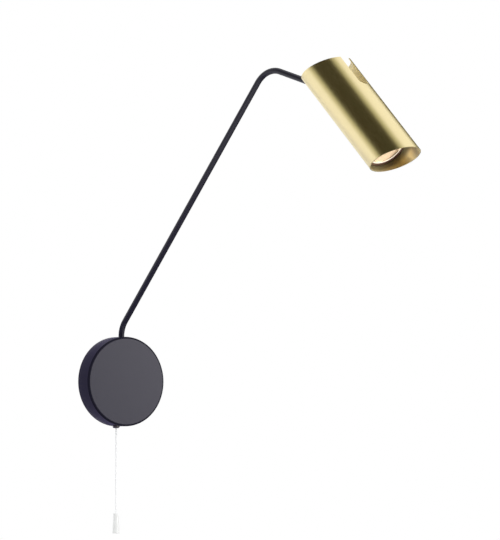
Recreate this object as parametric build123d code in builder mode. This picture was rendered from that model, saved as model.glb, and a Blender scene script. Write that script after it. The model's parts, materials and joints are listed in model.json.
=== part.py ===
from build123d import *
import os
from math import asin, cos, degrees, radians, sin, sqrt, tan

# Wall spotlight: a round wall cup with a pull switch, a bent arm that swivels in the cup's top,
# and a slanted, slotted brass shade that tilts on the arm's end and holds a reflector lamp.
# Millimetres. The wall is the plane y = 0, the lamp stands out towards -Y, and +Z is up.
# The origin is on the wall, midway between the two wall screws, on the cup's axis.

# Fits
SEAT = 0.05             # between pieces that are pushed or screwed together
RUNNING = 0.05          # between a shaft and the bore that it turns in
FREE = 0.3              # between pieces that pass each other without touching

# Wall cup
CUP_RADIUS = 50.0
CUP_DEPTH = 22.0
CUP_WALL = 1.5
CUP_EDGE = 2.0          # rounding of the front edge
CUP_INNER_EDGE = 0.6    # rounding inside the front edge
STEM_HOLE_GAP = 0.4     # round the stem, where it leaves the cup

# Wall bracket
STRAP_GAP = 1.7         # between the strap's ends and the inside of the cup
STRAP_WIDTH = 18.0
STRAP_THICKNESS = 1.5
LUG_THICKNESS = 1.5
LUG_WIDTH = 14.0
LUG_REACH = 14.0
WALL_SCREW_SPACING = 64.0
WALL_SLOT_LENGTH = 8.5
WALL_SLOT_WIDTH = 4.5
CABLE_RADIUS = 4.5      # bore of the grommet
GROMMET_NECK = 7.0
GROMMET_FLANGE = 9.0
GROMMET_FLANGE_THICKNESS = 2.0
HOOK_OUT = 8.0          # distance of the hook and the cup screw from the wall
HOOK_THICKNESS = 3.0
HOOK_WIDTH = 8.0
HOOK_GRIP = 2.0         # how far the hook reaches past its lug
CUP_SCREW_RADIUS = 2.0
CUP_SCREW_LENGTH = 7.0
EARTH_X = -17.0
EARTH_SCREW_RADIUS = 2.0
EARTH_HEAD_RADIUS = 3.6
EARTH_HEAD_HEIGHT = 2.4
EARTH_WASHER_RADIUS = 4.5
EARTH_WASHER_THICKNESS = 0.8

# Arm
STEM_OUT = 11.0         # distance of the stem's axis from the wall
ROD_RADIUS = 3.25
ROD_WALL = 1.0
STEM_STRAIGHT = 0.6     # straight stem above the cup, before the bend
STEM_BEND = 26.0
ARM_LEAN = 40.0         # degrees off upright
ARM_RUN = 362.0         # corner to corner
TOP_BEND = 32.0
TOP_DROOP = 18.0        # degrees below level
TOP_RUN = 127.0         # from the top corner to the tilt pivot
SWIVEL = 10.0           # degrees from straight out, to the right, as it stands
SWIVEL_STOP = 81.5      # degrees either side of straight out, where the stop meets its pin
CORE_RADIUS = 1.0
CORE_OFFSET = 1.05      # of each core from the middle of the rod
CORE_TAIL = 1.2         # core that stands out of the stem's lower end

# Swivel inside the cup
BLOCK_WIDTH = 26.0
BLOCK_BACK = 4.5        # distance of the block's back from the wall
BLOCK_TOP_GAP = 0.5
BLOCK_EDGE = 1.5
BUSH_RADIUS = 4.5
BUSH_FLANGE_RADIUS = 6.0
BUSH_FLANGE_THICKNESS = 0.9
CLIP_RADIUS = 4.9
CLIP_THICKNESS = 0.7
CLIP_GAP = 3.0
STUD_RADIUS = 2.0
STUD_SPACING = 18.0
STUD_HOLE_GAP = 0.25
STUD_END = 1.5          # distance of the studs' ends from the wall
NUT_ACROSS = 7.0
NUT_HEIGHT = 2.2
WASHER_RADIUS = 6.7
FRICTION_WASHER_THICKNESS = 1.0
WAVE_WASHER_THICKNESS = 0.8
COLLAR_RADIUS = 6.7
COLLAR_HEIGHT = 5.0
STOP_RADIUS = 9.0
STOP_THICKNESS = 2.0
COLLAR_SCREW_RADIUS = 1.25
STOP_PIN_RADIUS = 1.0
STOP_PIN_OFFSET = 8.2   # from the stem's axis
STOP_PIN_WALL = 1.2     # of the block, between the stop pin and the stud holes
STOP_PIN_TIP = 0.6      # past the stop's lower face
STEM_NUT_ACROSS = 10.0
STEM_NUT_HEIGHT = 3.0
STEM_TAIL = 1.0         # stem below its nut
STEM_ROOM = 7.4         # between the stem's lower end and the terminal block's top

# Terminal block
TERMINAL_X = 19.0
TERMINAL_WIDTH = 17.0
TERMINAL_HEIGHT = 18.0
TERMINAL_DEPTH = 12.0
POLE_SPACING = 9.4
POLE_RADIUS = 2.5
POLE_BORE = 1.5
POLE_LENGTH = 14.0
CLAMP_SPACING = 10.0
CLAMP_HEAD_RADIUS = 1.8
CLAMP_HEAD_HEIGHT = 1.5
CLAMP_RADIUS = 1.25
CLAMP_WELL_GAP = 0.2
FIXING_RADIUS = 1.25
FIXING_HEAD_RADIUS = 2.2
FIXING_HEAD_HEIGHT = 1.6
FIXING_WELL_DEPTH = 3.2
LEAD_INSERTION = 6.0    # of a lead into the terminal block

# Pull switch
CORD_X = -5.5
CORD_OUT = 9.0          # distance of the cord from the wall
CORD_RADIUS = 0.9
CASE_WIDTH = 22.0
CASE_DEPTH = 13.0
CASE_HEIGHT = 21.0
CASE_WALL = 1.5
CASE_GAP = 0.6          # between the case's lower corner and the cup
BOSS_RADIUS = 4.5
NIPPLE_RADIUS = 3.0
NIPPLE_BORE = 1.6
NIPPLE_HOLE_GAP = 0.2
OUTLET_RADIUS = 4.0
OUTLET_HEIGHT = 2.1
OUTLET_EDGE = 1.0
PLUNGER_RADIUS = 2.0
PLUNGER_HEAD_RADIUS = 4.2
PLUNGER_HEAD_HEIGHT = 2.0
PLUNGER_STOP_GAP = 0.2
PULL_STROKE = 7.0       # travel of the plunger and the cord
CORD_GRIP = 5.0         # of the cord inside the plunger
BRIDGE_LENGTH = 16.0
BRIDGE_WIDTH = 4.0
BRIDGE_THICKNESS = 0.6
CONTACT_THICKNESS = 0.6
CONTACT_TONGUE = 3.0
CONTACT_SPACING = 14.8  # between the two upright legs
CONTACT_STANDOUT = 3.0  # of a leg above the case
SPRING_INNER = 2.4
SPRING_OUTER = 3.3

# Pull cord
CORD_LENGTH = 95.0      # from the outlet to the top of the pull
PULL_HEIGHT = 22.5
PULL_TOP_RADIUS = 2.8
PULL_BOTTOM_RADIUS = 3.9
PULL_WALL = 0.9
PULL_ROOF = 5.0
KNOT_RADIUS = 1.8
KNOT_HEIGHT = 3.2

# Knuckle on the arm's end
KNUCKLE_WIDTH = 11.0
KNUCKLE_HEIGHT = 11.0
KNUCKLE_BACK = 13.0     # behind the pivot
KNUCKLE_FRONT = 6.0     # in front of the pivot
KNUCKLE_EDGE = 1.5
ROD_STOP = 3.0          # behind the pivot, where the rod ends
CORE_BORE = 2.4
KNUCKLE_SCREW_RADIUS = 1.5
KNUCKLE_SCREW_BACK = 8.0
PIVOT_RADIUS = 2.0
PIVOT_THREAD_RADIUS = 1.5
PIVOT_THREAD_LENGTH = 2.1
PIVOT_HEAD_RADIUS = 3.2
PIVOT_HEAD_HEIGHT = 1.8
PIVOT_WASHER_RADIUS = 5.0
PIVOT_WASHER_THICKNESS = 0.5

# Shade and what is inside it, measured along the shade from the tilt pivot
HEAD_TILT = 45.0        # degrees below level
TUBE_RADIUS = 27.0
TUBE_WALL = 1.0
TUBE_REAR = 42.4        # pivot to the middle of the rear end
TUBE_FRONT = 100.0      # pivot to the middle of the mouth
END_SLANT = 21.0
SLOT_WIDTH = 14.0
SLOT_TURN = 4.0         # degrees from the arm's plane, round the shade
SLOT_REACH = 11.3       # slot's round end, past the pivot
YOKE_THICKNESS = 2.0
YOKE_CHEEK = 12.0
YOKE_BASE = 19.0
YOKE_BASE_AT = 12.5
YOKE_WIRE_HOLE = 3.0
YOKE_SCREW_SPACING = 13.0
CARRIER_THICKNESS = 5.0
CARRIER_WIRE_HOLE = 4.0
CARRIER_SCREW_RADIUS = 1.25
CARRIER_SCREW_LENGTH = 6.0
CARRIER_SCREW_ANGLES = (100.0, 190.0)
SMALL_SCREW_RADIUS = 1.5
SMALL_HEAD_RADIUS = 2.75
SMALL_HEAD_HEIGHT = 1.8
HOLDER_LENGTH = 33.0
HOLDER_WIDTH = 18.0
HOLDER_HEIGHT = 11.0
HOLDER_EDGE = 3.0
HOLDER_SCREW_SPACING = 25.0
HOLDER_SCREW_WELL = 2.4
HOLDER_SCREW_BITE = 4.0
PIN_SPACING = 10.0
PIN_RADIUS = 1.6
PIN_HEAD_RADIUS = 2.5
PIN_HEAD_HEIGHT = 1.8
PIN_LENGTH = 7.2
SOCKET_GAP = 0.25
LAMP_LENGTH = 52.9
LAMP_GAP = 1.0          # round the lamp, inside the shade
LAMP_BASE_RADIUS = 14.0
LAMP_BASE_LENGTH = 9.0
LAMP_RIM_LENGTH = 14.0
LAMP_WALL = 1.6
LENS_RIM = 3.5          # width of the lamp's rim round the lens
LENS_THICKNESS = 2.2
LENS_RECESS = 0.3
LENS_LEDGE = 1.5
LEAD_START = 9.0        # of the head leads, clear of the turning knuckle

# Bends of the leads inside the cup
LEAD_BEND = 3.0
LEAD_WIDE_BEND = 6.0
LEAD_STRAIGHT = 1.0     # straight lead below the stem, before its first bend

# Worked out from the sizes above
CUP_INNER = CUP_RADIUS - CUP_WALL
CUP_FRONT = CUP_DEPTH - CUP_WALL
STRAP_END = CUP_INNER - STRAP_GAP
WALL = Plane.XZ
UP = Vector(0, 0, 1)
OUT = Vector(sin(radians(SWIVEL)), -cos(radians(SWIVEL)), 0)
SIDE = Vector(cos(radians(SWIVEL)), sin(radians(SWIVEL)), 0)


def upright(x, out, height):
    """A level plane at a place given by its distance from the wall."""
    return Plane((x, -out, height))


BLOCK_TOP = sqrt(CUP_INNER**2 - (BLOCK_WIDTH / 2) ** 2) - BLOCK_TOP_GAP
TERMINAL_TOP = TERMINAL_HEIGHT / 2
STEM_BOTTOM = TERMINAL_TOP + STEM_ROOM
CORE_BOTTOM = STEM_BOTTOM - CORE_TAIL
STEM_NUT_BOTTOM = STEM_BOTTOM + STEM_TAIL
COLLAR_BOTTOM = STEM_NUT_BOTTOM + STEM_NUT_HEIGHT
COLLAR_TOP = COLLAR_BOTTOM + COLLAR_HEIGHT
FRICTION_WASHER_Z = COLLAR_TOP + WAVE_WASHER_THICKNESS
BLOCK_BOTTOM = FRICTION_WASHER_Z + FRICTION_WASHER_THICKNESS
BLOCK_MIDDLE = (BLOCK_TOP + BLOCK_BOTTOM) / 2
BLOCK_HEIGHT = BLOCK_TOP - BLOCK_BOTTOM
STOP_PIN_DEPTH = BLOCK_HEIGHT / 2 - STUD_RADIUS - STUD_HOLE_GAP - STOP_PIN_WALL

STEM_CORNER_Z = CUP_RADIUS + STEM_STRAIGHT + STEM_BEND * tan(radians(ARM_LEAN / 2))
TOP_CORNER_OUT = ARM_RUN * sin(radians(ARM_LEAN))
TOP_CORNER_Z = STEM_CORNER_Z + ARM_RUN * cos(radians(ARM_LEAN))
ARM_PLANE = Plane((0, -STEM_OUT, 0), x_dir=OUT, z_dir=-SIDE)


def along_top_run(distance):
    """A point of the arm's plane on the top run's middle line, measured from its corner."""
    droop = radians(TOP_DROOP)
    return (TOP_CORNER_OUT + distance * cos(droop), TOP_CORNER_Z - distance * sin(droop))


PIVOT = ARM_PLANE.from_local_coords((*along_top_run(TOP_RUN), 0))
ROD_AXIS = OUT * cos(radians(TOP_DROOP)) - UP * sin(radians(TOP_DROOP))
ROD_NORMAL = OUT * sin(radians(TOP_DROOP)) + UP * cos(radians(TOP_DROOP))
HEAD_AXIS = OUT * cos(radians(HEAD_TILT)) - UP * sin(radians(HEAD_TILT))
HEAD_NORMAL = OUT * sin(radians(HEAD_TILT)) + UP * cos(radians(HEAD_TILT))
KNUCKLE = Plane(PIVOT, x_dir=ROD_NORMAL, z_dir=ROD_AXIS)
HEAD = Plane(PIVOT, x_dir=HEAD_NORMAL, z_dir=HEAD_AXIS)
SLOT_NORMAL = HEAD_NORMAL * cos(radians(SLOT_TURN)) + SIDE * sin(radians(SLOT_TURN))
SLOT_PLANE = Plane(PIVOT, x_dir=HEAD_AXIS, z_dir=SLOT_NORMAL)

TUBE_INNER = TUBE_RADIUS - TUBE_WALL
CHEEK_AT = KNUCKLE_WIDTH / 2 + PIVOT_WASHER_THICKNESS
CARRIER_AT = YOKE_BASE_AT + YOKE_THICKNESS
HOLDER_AT = CARRIER_AT + CARRIER_THICKNESS
HOLDER_FRONT = HOLDER_AT + HOLDER_HEIGHT
LAMP_AT = HOLDER_FRONT + FREE
LAMP_RADIUS = TUBE_INNER - LAMP_GAP
LAMP_FRONT = LAMP_AT + LAMP_LENGTH
LENS_AT = LAMP_FRONT - LENS_RECESS - LENS_THICKNESS
LENS_RADIUS = LAMP_RADIUS - LENS_RIM

CASE_LEFT = CORD_X - CASE_WIDTH / 2
CASE_BOTTOM = CASE_GAP - sqrt(CUP_INNER**2 - CASE_LEFT**2)
CASE_TOP = CASE_BOTTOM + CASE_HEIGHT
CASE_FLOOR = CASE_BOTTOM + CASE_WALL
BOSS_BOTTOM = SEAT - sqrt(CUP_INNER**2 - (abs(CORD_X) + BOSS_RADIUS) ** 2)
OUTLET_BOTTOM = -CUP_RADIUS - OUTLET_HEIGHT
PLUNGER_TOP = CASE_TOP - CASE_WALL - PLUNGER_STOP_GAP
BRIDGE_TOP = PLUNGER_TOP - PLUNGER_HEAD_HEIGHT
SPRING_TOP = BRIDGE_TOP - BRIDGE_THICKNESS
PLUNGER_BOTTOM = CASE_FLOOR + PULL_STROKE + FREE
PULL_TOP = OUTLET_BOTTOM - CORD_LENGTH
KNOT_TOP = PULL_TOP - PULL_ROOF
TERMINAL_POLE_OUT = STRAP_THICKNESS + TERMINAL_DEPTH / 2


def ring(plane, inner, outer, thickness):
    """A flat washer that stands on a plane."""
    with BuildPart() as piece:
        with BuildSketch(plane):
            Circle(outer)
            Circle(inner, mode=Mode.SUBTRACT)
        extrude(amount=thickness)
    return piece


def hex_nuts(planes, across, hole, height):
    """Nuts that stand on their planes."""
    with BuildPart() as piece:
        for plane in planes:
            with BuildSketch(plane):
                RegularPolygon(across / 2, 6, major_radius=False)
                Circle(hole, mode=Mode.SUBTRACT)
            extrude(amount=height)
    return piece


def screws(planes, head_radius, head_height, shank_radius, shank_length):
    """Slotted screws whose heads stand on their planes, with the shanks below."""
    with BuildPart() as piece:
        for plane in planes:
            with BuildSketch(plane):
                Circle(head_radius)
            extrude(amount=head_height)
            with BuildSketch(plane):
                Circle(shank_radius)
            extrude(amount=-shank_length)
            with BuildSketch(plane.offset(head_height)):
                Rectangle(2 * head_radius, head_radius / 3)
            extrude(amount=-head_height / 2, mode=Mode.SUBTRACT)
    return piece


def grub_screws(planes, radius, length):
    """Headless screws with a hexagon socket, their outer ends on their planes."""
    with BuildPart() as piece:
        for plane in planes:
            with BuildSketch(plane):
                Circle(radius)
            extrude(amount=-length)
            with BuildSketch(plane):
                RegularPolygon(radius / 2, 6)
            extrude(amount=-length / 3, mode=Mode.SUBTRACT)
    return piece


def lead(points, bends):
    """An insulated lead through a list of places, with rounded bends."""
    with BuildPart() as piece:
        with BuildLine() as route:
            FilletPolyline(*points, radius=bends)
        with BuildSketch(Plane(route.line @ 0, z_dir=route.line % 0)):
            Circle(CORE_RADIUS)
        sweep()
    return piece


# Wall bracket: a flat strap
with BuildPart() as wall_bracket:
    with BuildSketch(WALL):
        Rectangle(2 * STRAP_END, STRAP_WIDTH)
        with GridLocations(WALL_SCREW_SPACING, 0, 2, 1):
            SlotOverall(WALL_SLOT_LENGTH, WALL_SLOT_WIDTH, mode=Mode.SUBTRACT)
        Circle(GROMMET_NECK + SEAT, mode=Mode.SUBTRACT)
        with Locations((EARTH_X, 0)):
            Circle(EARTH_SCREW_RADIUS + SEAT, mode=Mode.SUBTRACT)
        with Locations((TERMINAL_X, 0)):
            Circle(FIXING_RADIUS + SEAT, mode=Mode.SUBTRACT)
    extrude(amount=STRAP_THICKNESS)

# Lugs welded on the strap's ends, one slotted for the cup's hook and one tapped for its screw
lug_middle = STRAP_END - LUG_THICKNESS / 2
with BuildPart() as bracket_lugs:
    with BuildSketch(WALL.offset(STRAP_THICKNESS)):
        with GridLocations(2 * lug_middle, 0, 2, 1):
            Rectangle(LUG_THICKNESS, LUG_WIDTH)
    extrude(amount=LUG_REACH - STRAP_THICKNESS)
    with BuildSketch(WALL.offset(HOOK_OUT - HOOK_THICKNESS / 2 - FREE)):
        with Locations((-lug_middle, 0)):
            Rectangle(2 * LUG_THICKNESS, HOOK_WIDTH + 2 * FREE)
    extrude(amount=HOOK_THICKNESS + 2 * FREE, mode=Mode.SUBTRACT)
    with BuildSketch(Plane((0, -HOOK_OUT, 0), z_dir=(1, 0, 0))):
        Circle(CUP_SCREW_RADIUS + SEAT)
    extrude(amount=CUP_RADIUS, mode=Mode.SUBTRACT)

# Rubber grommet in the bracket's cable hole
with BuildPart() as cable_grommet:
    with BuildSketch(WALL):
        Circle(GROMMET_NECK)
    extrude(amount=STRAP_THICKNESS)
    with BuildSketch(WALL.offset(STRAP_THICKNESS)):
        Circle(GROMMET_FLANGE)
    extrude(amount=GROMMET_FLANGE_THICKNESS)
    with BuildSketch(WALL):
        Circle(CABLE_RADIUS)
    extrude(amount=STRAP_THICKNESS + GROMMET_FLANGE_THICKNESS, mode=Mode.SUBTRACT)

# Wall cup, open at the wall
with BuildPart() as wall_cup:
    with BuildSketch(WALL):
        Circle(CUP_RADIUS)
    extrude(amount=CUP_DEPTH)
    fillet(wall_cup.faces().sort_by(Axis.Y)[0].edges(), CUP_EDGE)
    with BuildSketch(WALL):
        Circle(CUP_INNER)
    extrude(amount=CUP_FRONT, mode=Mode.SUBTRACT)
    inner_face = wall_cup.faces().filter_by(Axis.Y).sort_by(SortBy.AREA)[-2:].sort_by(Axis.Y)[-1]
    fillet(inner_face.edges(), CUP_INNER_EDGE)
    with BuildSketch(upright(0, STEM_OUT, 0)):
        Circle(ROD_RADIUS + STEM_HOLE_GAP)
    extrude(amount=2 * CUP_RADIUS, mode=Mode.SUBTRACT)
    with BuildSketch(upright(CORD_X, CORD_OUT, 0)):
        Circle(NIPPLE_RADIUS + NIPPLE_HOLE_GAP)
    extrude(amount=-2 * CUP_RADIUS, mode=Mode.SUBTRACT)
    with BuildSketch(Plane((0, -HOOK_OUT, 0), z_dir=(1, 0, 0))):
        Circle(CUP_SCREW_RADIUS + STUD_HOLE_GAP)
    extrude(amount=2 * CUP_RADIUS, mode=Mode.SUBTRACT)

# Hook welded inside the cup, through the bracket's left lug
hook_end = STRAP_END - LUG_THICKNESS - HOOK_GRIP
with BuildPart() as hook_tab:
    with BuildSketch(WALL.offset(HOOK_OUT - HOOK_THICKNESS / 2)):
        Circle(CUP_INNER)
        with Locations((-hook_end, 0)):
            Rectangle(
                CUP_RADIUS, HOOK_WIDTH,
                align=(Align.MAX, Align.CENTER), mode=Mode.INTERSECT,
            )
    extrude(amount=HOOK_THICKNESS)

# Grub screw through the cup's right side into the bracket's lug
cup_screw = grub_screws(
    [Plane((CUP_RADIUS - CUP_SCREW_RADIUS / 10, -HOOK_OUT, 0), z_dir=(1, 0, 0))],
    CUP_SCREW_RADIUS, CUP_SCREW_LENGTH,
)

# Swivel block, on two studs welded inside the cup's front
stud_places = [(-STUD_SPACING / 2, BLOCK_MIDDLE), (STUD_SPACING / 2, BLOCK_MIDDLE)]
with BuildPart() as stem_block:
    with BuildSketch(upright(0, 0, BLOCK_BOTTOM)):
        with Locations((0, -BLOCK_BACK)):
            Rectangle(BLOCK_WIDTH, CUP_FRONT - BLOCK_BACK, align=(Align.CENTER, Align.MAX))
    extrude(amount=BLOCK_HEIGHT)
    fillet(stem_block.edges().filter_by(Axis.Z), BLOCK_EDGE)
    with BuildSketch(upright(0, STEM_OUT, BLOCK_BOTTOM)):
        Circle(BUSH_RADIUS + SEAT)
    extrude(amount=BLOCK_HEIGHT, mode=Mode.SUBTRACT)
    with BuildSketch(WALL):
        with Locations(*stud_places):
            Circle(STUD_RADIUS + STUD_HOLE_GAP)
    extrude(amount=CUP_DEPTH, mode=Mode.SUBTRACT)
    with BuildSketch(upright(STOP_PIN_OFFSET, STEM_OUT, BLOCK_BOTTOM)):
        Circle(STOP_PIN_RADIUS + SEAT)
    extrude(amount=STOP_PIN_DEPTH, mode=Mode.SUBTRACT)

with BuildPart() as weld_studs:
    with BuildSketch(WALL.offset(STUD_END)):
        with Locations(*stud_places):
            Circle(STUD_RADIUS)
    extrude(amount=CUP_FRONT - STUD_END)

stud_nuts = hex_nuts(
    [Plane((x, -BLOCK_BACK, z), z_dir=(0, 1, 0)) for x, z in stud_places],
    NUT_ACROSS, STUD_RADIUS + SEAT, NUT_HEIGHT,
)

# Bush that the stem turns in, with the flange that carries the arm's weight
with BuildPart() as stem_bush:
    with BuildSketch(upright(0, STEM_OUT, BLOCK_BOTTOM)):
        Circle(BUSH_RADIUS)
    extrude(amount=BLOCK_HEIGHT)
    with BuildSketch(upright(0, STEM_OUT, BLOCK_TOP)):
        Circle(BUSH_FLANGE_RADIUS)
    extrude(amount=BUSH_FLANGE_THICKNESS)
    with BuildSketch(upright(0, STEM_OUT, BLOCK_BOTTOM)):
        Circle(ROD_RADIUS + RUNNING)
    extrude(amount=BLOCK_HEIGHT + BUSH_FLANGE_THICKNESS, mode=Mode.SUBTRACT)

with BuildPart() as stop_pin:
    with BuildSketch(upright(STOP_PIN_OFFSET, STEM_OUT, COLLAR_TOP - STOP_THICKNESS - STOP_PIN_TIP)):
        Circle(STOP_PIN_RADIUS)
    extrude(amount=BLOCK_BOTTOM + STOP_PIN_DEPTH - COLLAR_TOP + STOP_THICKNESS + STOP_PIN_TIP)

# Clip, washers, collar and nut on the stem
with BuildPart() as stem_clip:
    with BuildSketch(upright(0, STEM_OUT, BLOCK_TOP + BUSH_FLANGE_THICKNESS)):
        Circle(CLIP_RADIUS)
        Circle(ROD_RADIUS, mode=Mode.SUBTRACT)
        with Locations((0, CLIP_RADIUS)):
            Rectangle(CLIP_GAP, 2 * (CLIP_RADIUS - ROD_RADIUS) + CLIP_GAP, mode=Mode.SUBTRACT)
    extrude(amount=CLIP_THICKNESS)

friction_washer = ring(
    upright(0, STEM_OUT, FRICTION_WASHER_Z),
    ROD_RADIUS + RUNNING, WASHER_RADIUS, FRICTION_WASHER_THICKNESS,
)
wave_washer = ring(
    upright(0, STEM_OUT, COLLAR_TOP), ROD_RADIUS + RUNNING, WASHER_RADIUS, WAVE_WASHER_THICKNESS
)

pin_half_angle = degrees(asin(STOP_PIN_RADIUS / STOP_PIN_OFFSET))
stop_half_angle = 180 - SWIVEL_STOP - pin_half_angle
collar_screw_plane = Plane(
    ARM_PLANE.from_local_coords((-COLLAR_RADIUS, (COLLAR_BOTTOM + COLLAR_TOP - STOP_THICKNESS) / 2, 0)),
    z_dir=-OUT,
)
with BuildPart(upright(0, STEM_OUT, COLLAR_BOTTOM)) as stop_collar:
    Cylinder(COLLAR_RADIUS, COLLAR_HEIGHT, align=(Align.CENTER, Align.CENTER, Align.MIN))
    with Locations((0, 0, COLLAR_HEIGHT - STOP_THICKNESS)):
        Cylinder(
            STOP_RADIUS, STOP_THICKNESS, arc_size=2 * stop_half_angle,
            rotation=(0, 0, SWIVEL + 180 - stop_half_angle),
            align=(Align.NONE, Align.NONE, Align.MIN),
        )
    Cylinder(
        ROD_RADIUS + SEAT, COLLAR_HEIGHT,
        align=(Align.CENTER, Align.CENTER, Align.MIN), mode=Mode.SUBTRACT,
    )
    with BuildSketch(collar_screw_plane):
        Circle(COLLAR_SCREW_RADIUS + SEAT)
    extrude(amount=ROD_RADIUS - COLLAR_RADIUS, mode=Mode.SUBTRACT)

collar_screw = grub_screws(
    [collar_screw_plane], COLLAR_SCREW_RADIUS, COLLAR_RADIUS - ROD_RADIUS - SEAT
)
stem_nut = hex_nuts(
    [upright(0, STEM_OUT, STEM_NUT_BOTTOM)], STEM_NUT_ACROSS, ROD_RADIUS + SEAT, STEM_NUT_HEIGHT
)

# Terminal block on the bracket, poles upright
pole_places = [TERMINAL_X - POLE_SPACING / 2, TERMINAL_X + POLE_SPACING / 2]
terminal_front = STRAP_THICKNESS + TERMINAL_DEPTH
clamp_places = [(x, side * CLAMP_SPACING / 2) for x in pole_places for side in (-1, 1)]
with BuildPart() as terminal_block:
    with BuildSketch(WALL.offset(STRAP_THICKNESS)):
        with Locations((TERMINAL_X, 0)):
            Rectangle(TERMINAL_WIDTH, TERMINAL_HEIGHT)
    extrude(amount=TERMINAL_DEPTH)
    with BuildSketch(upright(0, TERMINAL_POLE_OUT, -TERMINAL_HEIGHT / 2)):
        with Locations(*[(x, 0) for x in pole_places]):
            Circle(POLE_RADIUS + SEAT)
    extrude(amount=TERMINAL_HEIGHT, mode=Mode.SUBTRACT)
    with BuildSketch(WALL.offset(terminal_front)):
        with Locations(*clamp_places):
            Circle(CLAMP_HEAD_RADIUS + CLAMP_WELL_GAP)
    extrude(amount=-TERMINAL_DEPTH / 2, mode=Mode.SUBTRACT)
    with BuildSketch(WALL.offset(terminal_front)):
        with Locations((TERMINAL_X, 0)):
            Circle(FIXING_HEAD_RADIUS + CLAMP_WELL_GAP)
    extrude(amount=-FIXING_WELL_DEPTH, mode=Mode.SUBTRACT)
    with BuildSketch(WALL.offset(STRAP_THICKNESS)):
        with Locations((TERMINAL_X, 0)):
            Circle(FIXING_RADIUS + SEAT)
    extrude(amount=TERMINAL_DEPTH, mode=Mode.SUBTRACT)

with BuildPart() as terminal_inserts:
    with BuildSketch(upright(0, TERMINAL_POLE_OUT, -POLE_LENGTH / 2)):
        with Locations(*[(x, 0) for x in pole_places]):
            Circle(POLE_RADIUS)
            Circle(POLE_BORE, mode=Mode.SUBTRACT)
    extrude(amount=POLE_LENGTH)
    with BuildSketch(WALL.offset(TERMINAL_POLE_OUT)):
        with Locations(*clamp_places):
            Circle(CLAMP_RADIUS + SEAT)
    extrude(amount=POLE_RADIUS, mode=Mode.SUBTRACT)

clamp_seat = TERMINAL_POLE_OUT + POLE_RADIUS + SEAT
terminal_screws = screws(
    [Plane((x, -clamp_seat, z), x_dir=(1, 0, 0), z_dir=(0, -1, 0)) for x, z in clamp_places],
    CLAMP_HEAD_RADIUS, CLAMP_HEAD_HEIGHT,
    CLAMP_RADIUS, clamp_seat - TERMINAL_POLE_OUT - CORE_RADIUS - SEAT,
)
fixing_seat = terminal_front - FIXING_WELL_DEPTH
terminal_fixing_screw = screws(
    [Plane((TERMINAL_X, -fixing_seat, 0), x_dir=(1, 0, 0), z_dir=(0, -1, 0))],
    FIXING_HEAD_RADIUS, FIXING_HEAD_HEIGHT, FIXING_RADIUS, fixing_seat,
)

# Earth screw and washer on the bracket
earth_washer = ring(
    Plane((EARTH_X, -STRAP_THICKNESS, 0), z_dir=(0, -1, 0)),
    EARTH_SCREW_RADIUS + SEAT, EARTH_WASHER_RADIUS, EARTH_WASHER_THICKNESS,
)
earth_seat = STRAP_THICKNESS + EARTH_WASHER_THICKNESS
earth_screw = screws(
    [Plane((EARTH_X, -earth_seat, 0), x_dir=(1, 0, 0), z_dir=(0, -1, 0))],
    EARTH_HEAD_RADIUS, EARTH_HEAD_HEIGHT, EARTH_SCREW_RADIUS, earth_seat,
)

# Pull switch: a case open to the front, with the threaded nipple that hangs it in the cup
case_back = CORD_OUT - CASE_DEPTH / 2
leg_places = [CORD_X - CONTACT_SPACING / 2, CORD_X + CONTACT_SPACING / 2]
with BuildPart() as switch_case:
    with BuildSketch(WALL.offset(case_back)):
        with Locations((CORD_X, CASE_BOTTOM)):
            Rectangle(CASE_WIDTH, CASE_HEIGHT, align=(Align.CENTER, Align.MIN))
    extrude(amount=CASE_DEPTH)
    with BuildSketch(WALL.offset(case_back + CASE_WALL)):
        with Locations((CORD_X, CASE_FLOOR)):
            Rectangle(
                CASE_WIDTH - 2 * CASE_WALL, CASE_HEIGHT - 2 * CASE_WALL,
                align=(Align.CENTER, Align.MIN),
            )
    extrude(amount=CASE_DEPTH, mode=Mode.SUBTRACT)
    with BuildSketch(upright(CORD_X, CORD_OUT, CASE_BOTTOM)):
        Circle(BOSS_RADIUS)
    extrude(amount=BOSS_BOTTOM - CASE_BOTTOM)
    with BuildSketch(upright(CORD_X, CORD_OUT, CASE_BOTTOM)):
        Circle(NIPPLE_RADIUS)
    extrude(amount=OUTLET_BOTTOM - CASE_BOTTOM)
    with BuildSketch(upright(CORD_X, CORD_OUT, CASE_FLOOR)):
        Circle(NIPPLE_BORE)
    extrude(amount=OUTLET_BOTTOM - CASE_FLOOR, mode=Mode.SUBTRACT)
    with BuildSketch(upright(0, CORD_OUT, CASE_TOP)):
        with Locations(*[(x, 0) for x in leg_places]):
            Rectangle(CONTACT_THICKNESS + 2 * SEAT, BRIDGE_WIDTH + 2 * SEAT)
    extrude(amount=-CASE_WALL, mode=Mode.SUBTRACT)

with BuildPart() as switch_cover:
    with BuildSketch(WALL.offset(case_back + CASE_DEPTH)):
        with Locations((CORD_X, CASE_BOTTOM)):
            Rectangle(CASE_WIDTH, CASE_HEIGHT, align=(Align.CENTER, Align.MIN))
    extrude(amount=CASE_WALL)

# Domed nut on the nipple, the outlet that shows under the cup
with BuildPart() as outlet_nut:
    with BuildSketch(upright(CORD_X, CORD_OUT, -CUP_RADIUS)):
        Circle(OUTLET_RADIUS)
    extrude(amount=-OUTLET_HEIGHT)
    fillet(outlet_nut.faces().sort_by(Axis.Z)[0].edges(), OUTLET_EDGE)
    with BuildSketch(upright(CORD_X, CORD_OUT, -CUP_RADIUS)):
        Circle(NIPPLE_RADIUS + SEAT)
    extrude(amount=-OUTLET_HEIGHT, mode=Mode.SUBTRACT)

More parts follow.
